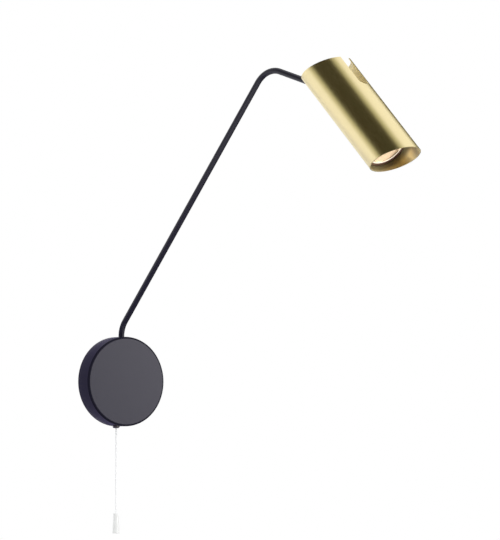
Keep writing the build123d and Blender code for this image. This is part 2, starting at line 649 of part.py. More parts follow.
# Fixed contacts: a leg up through the case, with a tongue over each end of the bridge
tongue_bottom = BRIDGE_TOP + FREE
with BuildPart() as switch_contacts:
    for x, inward in zip(leg_places, (1, -1)):
        with BuildSketch(upright(x, CORD_OUT, tongue_bottom)):
            Rectangle(CONTACT_THICKNESS, BRIDGE_WIDTH)
        extrude(amount=CASE_TOP + CONTACT_STANDOUT - tongue_bottom)
        with BuildSketch(upright(x + inward * CONTACT_TONGUE / 2, CORD_OUT, tongue_bottom)):
            Rectangle(CONTACT_TONGUE, BRIDGE_WIDTH)
        extrude(amount=CONTACT_THICKNESS)

with BuildPart() as switch_plunger:
    with BuildSketch(upright(CORD_X, CORD_OUT, PLUNGER_TOP)):
        Circle(PLUNGER_HEAD_RADIUS)
    extrude(amount=-PLUNGER_HEAD_HEIGHT)
    with BuildSketch(upright(CORD_X, CORD_OUT, PLUNGER_TOP)):
        Circle(PLUNGER_RADIUS)
    extrude(amount=PLUNGER_BOTTOM - PLUNGER_TOP)
    with BuildSketch(upright(CORD_X, CORD_OUT, PLUNGER_BOTTOM)):
        Circle(CORD_RADIUS + SEAT)
    extrude(amount=CORD_GRIP, mode=Mode.SUBTRACT)

with BuildPart() as contact_bridge:
    with BuildSketch(upright(CORD_X, CORD_OUT, SPRING_TOP)):
        Rectangle(BRIDGE_LENGTH, BRIDGE_WIDTH)
        Circle(SPRING_OUTER)
        Circle(PLUNGER_RADIUS + SEAT, mode=Mode.SUBTRACT)
    extrude(amount=BRIDGE_THICKNESS)

return_spring = ring(
    upright(CORD_X, CORD_OUT, CASE_FLOOR), SPRING_INNER, SPRING_OUTER, SPRING_TOP - CASE_FLOOR
)

# Cord: its end inside the switch, the hanging stretch, and the tapered pull on its knot
with BuildPart() as cord_end:
    with BuildSketch(upright(CORD_X, CORD_OUT, OUTLET_BOTTOM)):
        Circle(CORD_RADIUS)
    extrude(amount=PLUNGER_BOTTOM + CORD_GRIP - OUTLET_BOTTOM)

with BuildPart() as pull_cord:
    with BuildSketch(upright(CORD_X, CORD_OUT, OUTLET_BOTTOM)):
        Circle(CORD_RADIUS)
    extrude(amount=KNOT_TOP - OUTLET_BOTTOM)

with BuildPart(upright(CORD_X, CORD_OUT, PULL_TOP)) as cord_pull:
    Cone(
        PULL_BOTTOM_RADIUS, PULL_TOP_RADIUS, PULL_HEIGHT,
        align=(Align.CENTER, Align.CENTER, Align.MAX),
    )
    pull_slope = (PULL_BOTTOM_RADIUS - PULL_TOP_RADIUS) / PULL_HEIGHT
    with Locations((0, 0, -PULL_HEIGHT)):
        Cone(
            PULL_BOTTOM_RADIUS - PULL_WALL,
            PULL_TOP_RADIUS + pull_slope * PULL_ROOF - PULL_WALL,
            PULL_HEIGHT - PULL_ROOF,
            align=(Align.CENTER, Align.CENTER, Align.MIN), mode=Mode.SUBTRACT,
        )
    Cylinder(
        CORD_RADIUS + FREE, PULL_HEIGHT,
        align=(Align.CENTER, Align.CENTER, Align.MAX), mode=Mode.SUBTRACT,
    )

with BuildPart() as cord_knot:
    with BuildSketch(upright(CORD_X, CORD_OUT, KNOT_TOP)):
        Circle(KNOT_RADIUS)
    extrude(amount=-KNOT_HEIGHT)
    fillet(cord_knot.edges().filter_by(GeomType.CIRCLE), KNOT_RADIUS / 2)

# Arm tube and the two cores inside it
rod_end = along_top_run(TOP_RUN - ROD_STOP)
arm_corners = [(0, STEM_CORNER_Z), (TOP_CORNER_OUT, TOP_CORNER_Z)]
with BuildPart() as arm_tube:
    with BuildLine(ARM_PLANE):
        FilletPolyline((0, STEM_BOTTOM), *arm_corners, rod_end, radius=[STEM_BEND, TOP_BEND])
    with BuildSketch(upright(0, STEM_OUT, STEM_BOTTOM)):
        Circle(ROD_RADIUS)
        Circle(ROD_RADIUS - ROD_WALL, mode=Mode.SUBTRACT)
    sweep()


def arm_core(side):
    """One insulated core through the whole arm, on the left (-1) or right (1) of its middle line."""
    plane = ARM_PLANE.offset(-side * CORE_OFFSET)
    with BuildPart() as piece:
        with BuildLine(plane):
            FilletPolyline(
                (0, CORE_BOTTOM), *arm_corners, along_top_run(TOP_RUN + KNUCKLE_FRONT),
                radius=[STEM_BEND, TOP_BEND],
            )
        with BuildSketch(Plane(plane.from_local_coords((0, CORE_BOTTOM, 0)))):
            Circle(CORE_RADIUS)
        sweep()
    return piece


arm_core_live = arm_core(-1)
arm_core_neutral = arm_core(1)

# Knuckle clamped on the rod's end, with a clear way through for the cores
knuckle_length = KNUCKLE_BACK + KNUCKLE_FRONT
knuckle_screw_plane = Plane(
    PIVOT - ROD_AXIS * KNUCKLE_SCREW_BACK + ROD_NORMAL * (KNUCKLE_HEIGHT / 2), z_dir=ROD_NORMAL
)
with BuildPart() as arm_knuckle:
    with BuildSketch(KNUCKLE.offset(-KNUCKLE_BACK)):
        RectangleRounded(KNUCKLE_HEIGHT, KNUCKLE_WIDTH, KNUCKLE_EDGE)
    extrude(amount=knuckle_length)
    with BuildSketch(KNUCKLE.offset(-KNUCKLE_BACK)):
        Circle(ROD_RADIUS + SEAT)
    extrude(amount=KNUCKLE_BACK - ROD_STOP, mode=Mode.SUBTRACT)
    with BuildSketch(KNUCKLE.offset(-KNUCKLE_BACK)):
        Circle(CORE_BORE)
    extrude(amount=knuckle_length, mode=Mode.SUBTRACT)
    with BuildSketch(knuckle_screw_plane):
        Circle(KNUCKLE_SCREW_RADIUS + SEAT)
    extrude(amount=ROD_RADIUS - KNUCKLE_HEIGHT / 2, mode=Mode.SUBTRACT)
    for side in (-1, 1):
        with BuildSketch(Plane(PIVOT + SIDE * (side * KNUCKLE_WIDTH / 2), z_dir=SIDE * side)):
            Circle(PIVOT_THREAD_RADIUS + SEAT)
        extrude(amount=-PIVOT_THREAD_LENGTH - SEAT, mode=Mode.SUBTRACT)

knuckle_screw = grub_screws(
    [knuckle_screw_plane], KNUCKLE_SCREW_RADIUS, KNUCKLE_HEIGHT / 2 - ROD_RADIUS - SEAT
)

# Pivot screws and friction washers, one on each side of the knuckle
with BuildPart() as pivot_screws:
    for side in (-1, 1):
        knuckle_side = Plane(PIVOT + SIDE * (side * KNUCKLE_WIDTH / 2), z_dir=SIDE * side)
        shoulder = PIVOT_WASHER_THICKNESS + YOKE_THICKNESS + SEAT
        with BuildSketch(knuckle_side):
            Circle(PIVOT_RADIUS)
        extrude(amount=shoulder)
        with BuildSketch(knuckle_side):
            Circle(PIVOT_THREAD_RADIUS)
        extrude(amount=-PIVOT_THREAD_LENGTH)
        with BuildSketch(knuckle_side.offset(shoulder)):
            Circle(PIVOT_HEAD_RADIUS)
        extrude(amount=PIVOT_HEAD_HEIGHT)
        with BuildSketch(knuckle_side.offset(shoulder + PIVOT_HEAD_HEIGHT)):
            RegularPolygon(PIVOT_RADIUS / 2, 6)
        extrude(amount=-PIVOT_HEAD_HEIGHT / 2, mode=Mode.SUBTRACT)

with BuildPart() as pivot_washers:
    for side in (-1, 1):
        with BuildSketch(Plane(PIVOT + SIDE * (side * KNUCKLE_WIDTH / 2), z_dir=SIDE * side)):
            Circle(PIVOT_WASHER_RADIUS)
            Circle(PIVOT_RADIUS + RUNNING, mode=Mode.SUBTRACT)
        extrude(amount=PIVOT_WASHER_THICKNESS)


def around_tube(angle):
    """A plane on the shade's outside over the carrier's rim, at an angle from its upper side."""
    outward = HEAD_NORMAL * cos(radians(angle)) + SIDE * sin(radians(angle))
    middle = PIVOT + HEAD_AXIS * (CARRIER_AT + CARRIER_THICKNESS / 2)
    return Plane(middle + outward * TUBE_RADIUS, z_dir=outward)


# Brass shade: a tube with both ends on one slant and a slot for the arm in two opposite sides
carrier_screw_planes = [around_tube(angle) for angle in CARRIER_SCREW_ANGLES]
end_facing = HEAD_AXIS * cos(radians(END_SLANT)) - HEAD_NORMAL * sin(radians(END_SLANT))
slant_reach = TUBE_RADIUS * tan(radians(END_SLANT)) + TUBE_WALL
slot_end = SLOT_REACH - SLOT_WIDTH / 2
slot_start = -TUBE_REAR - slant_reach
with BuildPart() as shade_tube:
    with BuildSketch(HEAD.offset(slot_start)):
        Circle(TUBE_RADIUS)
        Circle(TUBE_INNER, mode=Mode.SUBTRACT)
    extrude(amount=TUBE_FRONT + slant_reach - slot_start)
    split(bisect_by=Plane(PIVOT - HEAD_AXIS * TUBE_REAR, z_dir=end_facing), keep=Keep.TOP)
    split(bisect_by=Plane(PIVOT + HEAD_AXIS * TUBE_FRONT, z_dir=end_facing), keep=Keep.BOTTOM)
    with BuildSketch(SLOT_PLANE):
        with Locations((slot_start, 0)):
            Rectangle(slot_end - slot_start, SLOT_WIDTH, align=(Align.MIN, Align.CENTER))
        with Locations((slot_end, 0)):
            Circle(SLOT_WIDTH / 2)
    extrude(amount=2 * TUBE_RADIUS, both=True, mode=Mode.SUBTRACT)
    for plane in carrier_screw_planes:
        with BuildSketch(plane):
            Circle(CARRIER_SCREW_RADIUS + SEAT)
        extrude(amount=-TUBE_WALL * 2, mode=Mode.SUBTRACT)

# Yoke: two cheeks on a base, bent from one strip
with BuildPart() as head_yoke:
    with BuildSketch(HEAD.offset(YOKE_BASE_AT)):
        Rectangle(YOKE_BASE, 2 * (CHEEK_AT + YOKE_THICKNESS))
    extrude(amount=YOKE_THICKNESS)
    for side in (-1, 1):
        with BuildSketch(Plane(PIVOT + SIDE * (side * CHEEK_AT), x_dir=HEAD_AXIS, z_dir=SIDE * side)):
            Rectangle(YOKE_BASE_AT, YOKE_CHEEK, align=(Align.MIN, Align.CENTER))
            Circle(YOKE_CHEEK / 2)
            Circle(PIVOT_RADIUS + RUNNING, mode=Mode.SUBTRACT)
        extrude(amount=YOKE_THICKNESS)
    with BuildSketch(HEAD.offset(YOKE_BASE_AT)):
        Circle(YOKE_WIRE_HOLE)
        with GridLocations(YOKE_SCREW_SPACING, 0, 2, 1):
            Circle(SMALL_SCREW_RADIUS + SEAT)
    extrude(amount=YOKE_THICKNESS, mode=Mode.SUBTRACT)

# Carrier disc that fills the shade in front of the slots
with BuildPart() as head_carrier:
    with BuildSketch(HEAD.offset(CARRIER_AT)):
        Circle(TUBE_INNER - SEAT)
        Circle(CARRIER_WIRE_HOLE, mode=Mode.SUBTRACT)
        with GridLocations(YOKE_SCREW_SPACING, 0, 2, 1):
            Circle(SMALL_SCREW_RADIUS + SEAT, mode=Mode.SUBTRACT)
        with GridLocations(HOLDER_SCREW_SPACING, 0, 2, 1):
            Circle(SMALL_SCREW_RADIUS + SEAT, mode=Mode.SUBTRACT)
    extrude(amount=CARRIER_THICKNESS)
    for plane in carrier_screw_planes:
        with BuildSketch(plane):
            Circle(CARRIER_SCREW_RADIUS + SEAT)
        extrude(amount=-CARRIER_SCREW_LENGTH - SEAT, mode=Mode.SUBTRACT)

carrier_screws = grub_screws(
    [plane.offset(-SEAT) for plane in carrier_screw_planes],
    CARRIER_SCREW_RADIUS, CARRIER_SCREW_LENGTH - SEAT,
)


def on_head(across, along, facing):
    """A plane inside the shade, across from its axis, facing forward (1) or back (-1)."""
    return Plane(
        PIVOT + HEAD_NORMAL * across + HEAD_AXIS * along,
        x_dir=HEAD_NORMAL, z_dir=HEAD_AXIS * facing,
    )


yoke_screws = screws(
    [on_head(side * YOKE_SCREW_SPACING / 2, YOKE_BASE_AT, -1) for side in (-1, 1)],
    SMALL_HEAD_RADIUS, SMALL_HEAD_HEIGHT,
    SMALL_SCREW_RADIUS, YOKE_THICKNESS + CARRIER_THICKNESS - SEAT,
)

# Porcelain lampholder with a well for each fixing screw and a socket for each lamp pin
with BuildPart() as lampholder:
    with BuildSketch(HEAD.offset(HOLDER_AT)):
        RectangleRounded(HOLDER_LENGTH, HOLDER_WIDTH, HOLDER_EDGE)
        with GridLocations(HOLDER_SCREW_SPACING, 0, 2, 1):
            Circle(SMALL_SCREW_RADIUS + SEAT, mode=Mode.SUBTRACT)
    extrude(amount=HOLDER_HEIGHT)
    with BuildSketch(HEAD.offset(HOLDER_FRONT)):
        with GridLocations(HOLDER_SCREW_SPACING, 0, 2, 1):
            Circle(SMALL_HEAD_RADIUS + SOCKET_GAP)
    extrude(amount=-HOLDER_SCREW_WELL, mode=Mode.SUBTRACT)
    with BuildSketch(HEAD.offset(HOLDER_FRONT)):
        with GridLocations(PIN_SPACING, 0, 2, 1):
            Circle(PIN_HEAD_RADIUS + SOCKET_GAP)
    extrude(amount=-PIN_LENGTH - SOCKET_GAP, mode=Mode.SUBTRACT)

holder_screw_seat = HOLDER_FRONT - HOLDER_SCREW_WELL
holder_screws = screws(
    [on_head(side * HOLDER_SCREW_SPACING / 2, holder_screw_seat, 1) for side in (-1, 1)],
    SMALL_HEAD_RADIUS, SMALL_HEAD_HEIGHT,
    SMALL_SCREW_RADIUS, holder_screw_seat - HOLDER_AT + HOLDER_SCREW_BITE,
)

# Lamp: a hollow reflector body with its lens and two pins
lamp_section = Plane(PIVOT, x_dir=HEAD_NORMAL, z_dir=SIDE)
rim_at = LAMP_FRONT - LAMP_RIM_LENGTH
with BuildPart() as lamp_body:
    with BuildSketch(lamp_section):
        with BuildLine():
            Polyline(
                (0, LAMP_AT),
                (LAMP_BASE_RADIUS, LAMP_AT),
                (LAMP_BASE_RADIUS, LAMP_AT + LAMP_BASE_LENGTH),
                (LAMP_RADIUS, rim_at),
                (LAMP_RADIUS, LAMP_FRONT),
                (LENS_RADIUS + SEAT, LAMP_FRONT),
                (LENS_RADIUS + SEAT, LENS_AT),
                (LENS_RADIUS - LENS_LEDGE, LENS_AT),
                (LAMP_BASE_RADIUS - LAMP_WALL, LAMP_AT + LAMP_BASE_LENGTH),
                (LAMP_BASE_RADIUS - LAMP_WALL, LAMP_AT + LAMP_WALL),
                (0, LAMP_AT + LAMP_WALL),
                close=True,
            )
        make_face()
    revolve(axis=Axis(PIVOT, HEAD_AXIS))

with BuildPart() as lamp_lens:
    with BuildSketch(HEAD.offset(LENS_AT)):
        Circle(LENS_RADIUS)
    extrude(amount=LENS_THICKNESS)

with BuildPart() as lamp_pins:
    with BuildSketch(HEAD.offset(LAMP_AT)):
        with GridLocations(PIN_SPACING, 0, 2, 1):
            Circle(PIN_RADIUS)
    extrude(amount=-PIN_LENGTH)
    with BuildSketch(HEAD.offset(LAMP_AT - PIN_LENGTH)):
        with GridLocations(PIN_SPACING, 0, 2, 1):
            Circle(PIN_HEAD_RADIUS)
    extrude(amount=PIN_HEAD_HEIGHT)

# Leads from the pivot through the yoke and the carrier to the lampholder
with BuildPart() as head_leads:
    with BuildSketch(HEAD.offset(LEAD_START)):
        with GridLocations(0, 2 * CORE_OFFSET, 1, 2):
            Circle(CORE_RADIUS)
    extrude(amount=HOLDER_AT - LEAD_START)

# Leads inside the cup
live_tail = ARM_PLANE.offset(CORE_OFFSET).from_local_coords((0, CORE_BOTTOM, 0))
neutral_tail = ARM_PLANE.offset(-CORE_OFFSET).from_local_coords((0, CORE_BOTTOM, 0))
lead_depth = TERMINAL_TOP - LEAD_INSERTION
leg_top = CASE_TOP + CONTACT_STANDOUT
lead_level = CORE_BOTTOM - LEAD_BEND - LEAD_STRAIGHT
supply_level = (leg_top - TERMINAL_TOP) / 2

neutral_lead = lead(
    [
        neutral_tail,
        (neutral_tail.X, neutral_tail.Y, lead_level),
        (pole_places[0], -TERMINAL_POLE_OUT, lead_level),
        (pole_places[0], -TERMINAL_POLE_OUT, lead_depth),
    ],
    [LEAD_BEND, LEAD_BEND],
)
live_lead = lead(
    [
        live_tail,
        (live_tail.X, live_tail.Y, lead_level),
        (leg_places[0], -CORD_OUT, 0),
        (leg_places[0], -CORD_OUT, leg_top),
    ],
    [LEAD_WIDE_BEND, LEAD_WIDE_BEND],
)
supply_lead = lead(
    [
        (pole_places[1], -TERMINAL_POLE_OUT, -lead_depth),
        (pole_places[1], -TERMINAL_POLE_OUT, supply_level),
        (leg_places[1], -CORD_OUT, supply_level),
        (leg_places[1], -CORD_OUT, leg_top),
    ],
    [LEAD_BEND, LEAD_BEND],
)

pieces = {
    "wall_bracket": wall_bracket,
    "bracket_lugs": bracket_lugs,
    "cable_grommet": cable_grommet,
    "wall_cup": wall_cup,
    "hook_tab": hook_tab,
    "cup_screw": cup_screw,
    "stem_block": stem_block,
    "weld_studs": weld_studs,
    "stud_nuts": stud_nuts,
    "stem_bush": stem_bush,
    "stop_pin": stop_pin,
    "terminal_block": terminal_block,
    "terminal_inserts": terminal_inserts,
    "terminal_screws": terminal_screws,
    "terminal_fixing_screw": terminal_fixing_screw,
    "earth_washer": earth_washer,
    "earth_screw": earth_screw,
    "switch_case": switch_case,
    "switch_cover": switch_cover,
    "outlet_nut": outlet_nut,
    "switch_contacts": switch_contacts,
    "neutral_lead": neutral_lead,
    "live_lead": live_lead,
    "supply_lead": supply_lead,
    "switch_plunger": switch_plunger,
    "contact_bridge": contact_bridge,
    "return_spring": return_spring,
    "cord_end": cord_end,
    "pull_cord": pull_cord,
    "cord_pull": cord_pull,
    "cord_knot": cord_knot,
    "arm_tube": arm_tube,
    "arm_core_live": arm_core_live,
    "arm_core_neutral": arm_core_neutral,
    "stem_clip": stem_clip,
    "friction_washer": friction_washer,
    "wave_washer": wave_washer,
    "stop_collar": stop_collar,
    "collar_screw": collar_screw,
    "stem_nut": stem_nut,
    "arm_knuckle": arm_knuckle,
    "knuckle_screw": knuckle_screw,
    "pivot_screws": pivot_screws,
    "pivot_washers": pivot_washers,
    "shade_tube": shade_tube,
    "head_yoke": head_yoke,
    "yoke_screws": yoke_screws,
    "head_carrier": head_carrier,
    "carrier_screws": carrier_screws,
    "lampholder": lampholder,
    "holder_screws": holder_screws,
    "lamp_body": lamp_body,
    "lamp_lens": lamp_lens,
    "lamp_pins": lamp_pins,
    "head_leads": head_leads,
}

os.makedirs("parts", exist_ok=True)
for name, piece in pieces.items():
    piece.part.label = name
    export_step(piece.part, f"parts/{name}.step")
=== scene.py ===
import json
from math import atan2, cos, pi, radians, sin, tan, tau

import bmesh
import bpy
from mathutils import Euler, Matrix, Vector


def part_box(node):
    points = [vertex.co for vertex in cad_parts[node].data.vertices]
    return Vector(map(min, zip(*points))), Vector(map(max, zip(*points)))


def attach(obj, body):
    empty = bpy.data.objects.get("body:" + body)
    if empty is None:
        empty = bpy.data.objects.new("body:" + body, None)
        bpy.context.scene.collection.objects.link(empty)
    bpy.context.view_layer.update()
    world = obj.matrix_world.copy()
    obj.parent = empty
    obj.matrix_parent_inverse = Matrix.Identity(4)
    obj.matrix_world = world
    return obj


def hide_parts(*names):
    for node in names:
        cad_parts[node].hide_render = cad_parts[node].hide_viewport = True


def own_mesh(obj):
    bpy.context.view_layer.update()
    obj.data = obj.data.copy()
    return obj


bl_info = {
    "name": "Wall Spotlight",
    "version": (1, 0, 0),
    "blender": (4, 5, 0),
    "location": "View3D > Sidebar > Spotlight",
    "description": "Dresses a wall spotlight: painted cup and arm, brass shade, lamp and pull cord",
    "category": "Object",
}

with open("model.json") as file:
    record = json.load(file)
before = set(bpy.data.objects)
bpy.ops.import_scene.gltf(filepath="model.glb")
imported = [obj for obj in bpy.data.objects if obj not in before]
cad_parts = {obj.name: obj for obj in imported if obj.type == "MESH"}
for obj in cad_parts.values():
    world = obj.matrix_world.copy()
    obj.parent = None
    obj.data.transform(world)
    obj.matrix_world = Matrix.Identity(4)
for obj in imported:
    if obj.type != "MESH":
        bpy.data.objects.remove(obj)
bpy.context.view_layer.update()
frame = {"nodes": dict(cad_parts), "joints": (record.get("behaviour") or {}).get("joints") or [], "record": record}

MM = 0.001
TINY = 1e-6                     # metres, less than any real size
TOUCH = 0.1 * MM                # what is this close to a face belongs to it
SHARP = 35                      # degrees, above which an edge counts as sharp
SHARP_CUT = 40                  # the same for shapes with cut or meshed faces
UP = Vector((0, 0, 1))
JOINTS = {joint["name"]: joint for joint in frame["joints"]}
STEM = Vector(JOINTS["arm_swivel"]["pos_m"])
PIVOT = Vector(JOINTS["head_tilt"]["pos_m"])
SIDE = Vector(JOINTS["head_tilt"]["axis"])
OUT = SIDE.cross(UP)
CUP_LOW, CUP_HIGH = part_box("wall_cup")
CUP_RADIUS = (CUP_HIGH.x - CUP_LOW.x) / 2
CUP_DEPTH = -CUP_LOW.y
OUTLET_LOW, OUTLET_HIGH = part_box("outlet_nut")
CORD_LOW, CORD_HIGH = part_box("pull_cord")
CORD_AXIS = (CORD_LOW + CORD_HIGH) / 2
CORD_FRAME = Matrix.Translation((CORD_AXIS.x, CORD_AXIS.y, 0))
GLASS_EDGE = 2.2 * MM           # flat clear edge of the lamp's front glass


def linear(code):
    """An sRGB hex colour as linear red, green and blue."""
    values = [int(code[i:i + 2], 16) / 255 for i in (0, 2, 4)]
    return [v / 12.92 if v <= 0.04045 else ((v + 0.055) / 1.055) ** 2.4 for v in values]


def length(name, description, millimetres):
    """A size property, given in millimetres and kept in metres."""
    return bpy.props.FloatProperty(
        name=name, description=description, default=millimetres * MM, unit="LENGTH", precision=5
    )


def angle(name, description, degrees):
    """An angle property, given in degrees."""
    return bpy.props.FloatProperty(
        name=name, description=description, default=radians(degrees), unit="ROTATION"
    )


def colour(name, description, code):
    """A colour property, given as an sRGB hex value."""
    return bpy.props.FloatVectorProperty(
        name=name, description=description, default=linear(code), subtype="COLOR", min=0, max=1
    )


class SpotlightSizes(bpy.types.PropertyGroup):
    """Sizes of the pieces that show."""

    cup_wall: length("Cup wall", "Thickness of the pressed cup", 1.5)
    cup_edge: length("Cup edge", "Rounding of the cup's front edge", 2.0)
    stem_gap: length("Stem gap", "Clear ring round the stem where it leaves the cup", 0.4)
    outlet_gap: length("Outlet gap", "Clear ring round the switch's nipple in the cup", 0.2)
    nipple_radius: length("Nipple", "Radius of the switch's threaded nipple", 3.0)
    grub_radius: length("Grub screw", "Radius of the cup's grub screw", 2.0)
    grub_out: length("Grub screw place", "Distance of the cup's grub screw from the wall", 8.0)
    rod_radius: length("Rod", "Outer radius of the arm's tube", 3.25)
    rod_wall: length("Rod wall", "Wall of the arm's tube", 1.0)
    arm_lean: angle("Arm lean", "Lean of the long run off upright", 40)
    top_droop: angle("Top droop", "Slope of the top run below level", 18)
    stem_straight: length("Straight stem", "Straight tube above the cup, before the bend", 0.6)
    stem_bend: length("Stem bend", "Radius of the lower bend", 26)
    top_bend: length("Top bend", "Radius of the upper bend", 32)
    rod_stop: length("Rod stop", "Distance of the tube's end from the tilt pivot", 3.0)
    head_tilt: angle("Head tilt", "Slope of the shade below level", 45)
    tube_radius: length("Shade", "Outer radius of the brass tube", 27)
    tube_wall: length("Shade wall", "Wall of the brass tube", 1.0)
    tube_rear: length("Shade rear", "From the pivot back to the middle of the rear end", 42.4)
    tube_front: length("Shade front", "From the pivot to the middle of the mouth", 100)
    end_slant: angle("End slant", "Slant of both ends of the shade", 21)
    slot_width: length("Slot width", "Width of the arm's slots", 14.0)
    slot_turn: angle("Slot turn", "Turn of the slots round the shade, from the arm's plane", 4)
    slot_reach: length("Slot reach", "Round end of the slots, past the pivot", 11.3)
    rim_round: length("Rim rounding", "Deburred edges of the brass tube", 0.2)
    lamp_at: length("Lamp place", "From the pivot to the back of the lamp", 30.8)
    lamp_length: length("Lamp length", "Length of the lamp's body", 52.9)
    lamp_radius: length("Lamp radius", "Radius of the lamp's rim", 25)
    lamp_base_radius: length("Lamp base", "Radius of the lamp's base", 14)
    lamp_base_length: length("Lamp base length", "Length of the lamp's base", 9)
    lamp_rim_length: length("Lamp rim", "Length of the lamp's rim", 14)
    lamp_wall: length("Lamp wall", "Wall of the lamp's body", 1.6)
    lens_radius: length("Lens", "Radius of the lamp's front glass", 21.5)
    lens_recess: length("Lens recess", "Front glass below the lamp's rim", 0.3)
    lens_thickness: length("Lens thickness", "Thickness of the front glass", 2.2)
    lens_curve: length("Lens curve", "Radius of the dish behind the front glass", 60)


class SpotlightColours(bpy.types.PropertyGroup):
    """Colours of the finishes that show."""

    paint: colour("Paint", "Powder coat of the cup and the arm", "1B1A25")
    brass: colour("Brass", "Satin brass of the shade", "F7E7B4")
    lens: colour("Lens", "Warm middle of the lamp's front glass", "F8D8B0")
    lens_rim: colour("Lens rim", "Clear edge of the lamp's front glass", "FFF3DC")
    lamp_shell: colour("Lamp shell", "Enamel of the lamp's rim", "6E4A3A")
    cord: colour("Cord", "Braided pull cord", "FAFAF8")
    bob: colour("Pull", "Moulded pull on the cord", "ECECE9")
    floor: colour("Floor", "Floor under the lamp", "F4F4F4")


def placed(origin, x_dir, z_dir):
    """The matrix of a local frame, from its origin, its X direction and its Z direction."""
    x_dir, z_dir = Vector(x_dir).normalized(), Vector(z_dir).normalized()
    turn = Matrix((x_dir, z_dir.cross(x_dir), z_dir)).transposed()
    return Matrix.Translation(origin) @ turn.to_4x4()


def head_frame(sizes):
    """The shade's frame: Z along the shade from the tilt pivot, X to its upper side."""
    forward = OUT * cos(sizes.head_tilt) - UP * sin(sizes.head_tilt)
    above = OUT * sin(sizes.head_tilt) + UP * cos(sizes.head_tilt)
    return placed(PIVOT, above, forward)


WALL_FRAME = placed((0, 0, 0), (1, 0, 0), (0, -1, 0))


def merge(bm, outwards=True):
    """Merges a shape's doubled points, and turns its faces outwards unless told that they are."""
    bmesh.ops.remove_doubles(bm, verts=bm.verts, dist=TINY)
    if outwards:
        bmesh.ops.recalc_face_normals(bm, faces=bm.faces)


def lathe(outline, steps, closed=False):
    """A shape turned from an outline of (radius, height) points about its own Z axis."""
    bm = bmesh.new()
    verts = [bm.verts.new((radius, 0, height)) for radius, height in outline]
    edges = [bm.edges.new(pair) for pair in zip(verts, verts[1:])]
    if closed:
        edges.append(bm.edges.new((verts[-1], verts[0])))
    bmesh.ops.spin(
        bm, geom=verts + edges, cent=(0, 0, 0), axis=(0, 0, 1), angle=tau, steps=steps, use_merge=True
    )
    merge(bm)
    return bm


def round_edges(bm, width, segments=3, where=None, sharper_than=SHARP, longer_than=0.0):
    """Rounds the sharp edges of a shape, or those of them whose middle passes a test. Where short edges
    are left out, the width isn't held back for them either."""
    sharp = [
        e for e in bm.edges
        if e.is_manifold and e.calc_face_angle() > radians(sharper_than) and e.calc_length() > longer_than
    ]
    if where:
        sharp = [e for e in sharp if where((e.verts[0].co + e.verts[1].co) / 2)]
    bmesh.ops.bevel(
        bm, geom=sharp, offset=width, offset_type="OFFSET", segments=segments, profile=0.5,
        affect="EDGES", material=-1, clamp_overlap=not longer_than,
    )


def ring_edges(ring):
    """The edges between the points of a ring."""
    return list(dict.fromkeys(e for v in ring for e in v.link_edges if all(w in ring for w in e.verts)))


def only_verts(geometry):
    """The points among the points, edges and faces that an operator returns."""
    return [item for item in geometry if isinstance(item, bmesh.types.BMVert)]


def added(name, bm):
    """Adds an object of a shape to the scene, and frees the shape."""
    mesh = bpy.data.meshes.new(name)
    bm.to_mesh(mesh)
    bm.free()
    thing = bpy.data.objects.new(name, mesh)
    bpy.context.scene.collection.objects.link(thing)
    return thing


def piece(name, bm, slot, body, replaced=(), matrix=None, flat_faces=True):
    """Makes an object of a shape: placed in the frame, smoothed, finished and carried by its body."""
    if matrix:
        bmesh.ops.transform(bm, matrix=matrix, verts=bm.verts)
    thing = added(name, bm)
    if not thing.data.polygons:
        raise RuntimeError(f"{name} has no faces")
    thing.data.shade_smooth()
    thing.data.set_sharp_from_angle(angle=radians(SHARP))
    thing.data.materials.append(finish(slot))
    if flat_faces:
        # keeps the shading of the large faces true beside their rounded edges
        thing.modifiers.new("flat_faces", "WEIGHTED_NORMAL").keep_sharp = True
    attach(thing, body)
    if replaced:
        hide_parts(*replaced)
    return thing


def carved(bm, cutters):
    """A shape with other shapes cut out of it."""
    objects = [added(f"carving_{number}", shape) for number, shape in enumerate([bm, *cutters])]
    for cutter in objects[1:]:
        cut = objects[0].modifiers.new(cutter.name, "BOOLEAN")
        cut.operation = "DIFFERENCE"
        cut.solver = "EXACT"
        cut.object = cutter
    bpy.context.view_layer.update()
    seen = objects[0].evaluated_get(bpy.context.evaluated_depsgraph_get())
    result = bmesh.new()
    result.from_mesh(seen.to_mesh())
    seen.to_mesh_clear()
    for thing in objects:
        bpy.data.meshes.remove(thing.data)
    merge(result, outwards=False)
    return result


def drill(radius, depth, matrix, segments=48):
    """A round cutter along the Z axis of a local frame, from its origin forward."""
    bm = bmesh.new()
    bmesh.ops.create_cone(
        bm, cap_ends=True, segments=segments, radius1=radius, radius2=radius, depth=depth,
        matrix=matrix @ Matrix.Translation((0, 0, depth / 2)),
    )
    return bm


def wire(tree, node, links):
    """Links outputs into the inputs of a node."""
    for key, output in links.items():
        tree.links.new(output, node.inputs[key])


def add_node(tree, kind, settings=None, links=None):
    """Adds a node to a tree, with its settings and the outputs that are linked into it."""
    node = tree.nodes.new(kind)
    for key, value in (settings or {}).items():
        if isinstance(key, int) or key in node.inputs:
            node.inputs[key].default_value = value
        else:
            setattr(node, key, value)
    wire(tree, node, links or {})
    return node


def new_material(name, settings, kind="ShaderNodeBsdfPrincipled"):
    """A material with one shader and its settings, and the tree to add its pattern to."""
    material = bpy.data.materials.new(name)
    material.use_nodes = True
    tree = material.node_tree
    tree.nodes.clear()
    shader = add_node(tree, kind, settings)
    add_node(tree, "ShaderNodeOutputMaterial", links={"Surface": shader.outputs[0]})
    return material, tree, shader


def rgba(values, factor=1.0):
    """A linear colour as a shader socket takes it, made lighter or darker by a factor."""
    return (*[min(1.0, v * factor) for v in values], 1.0)


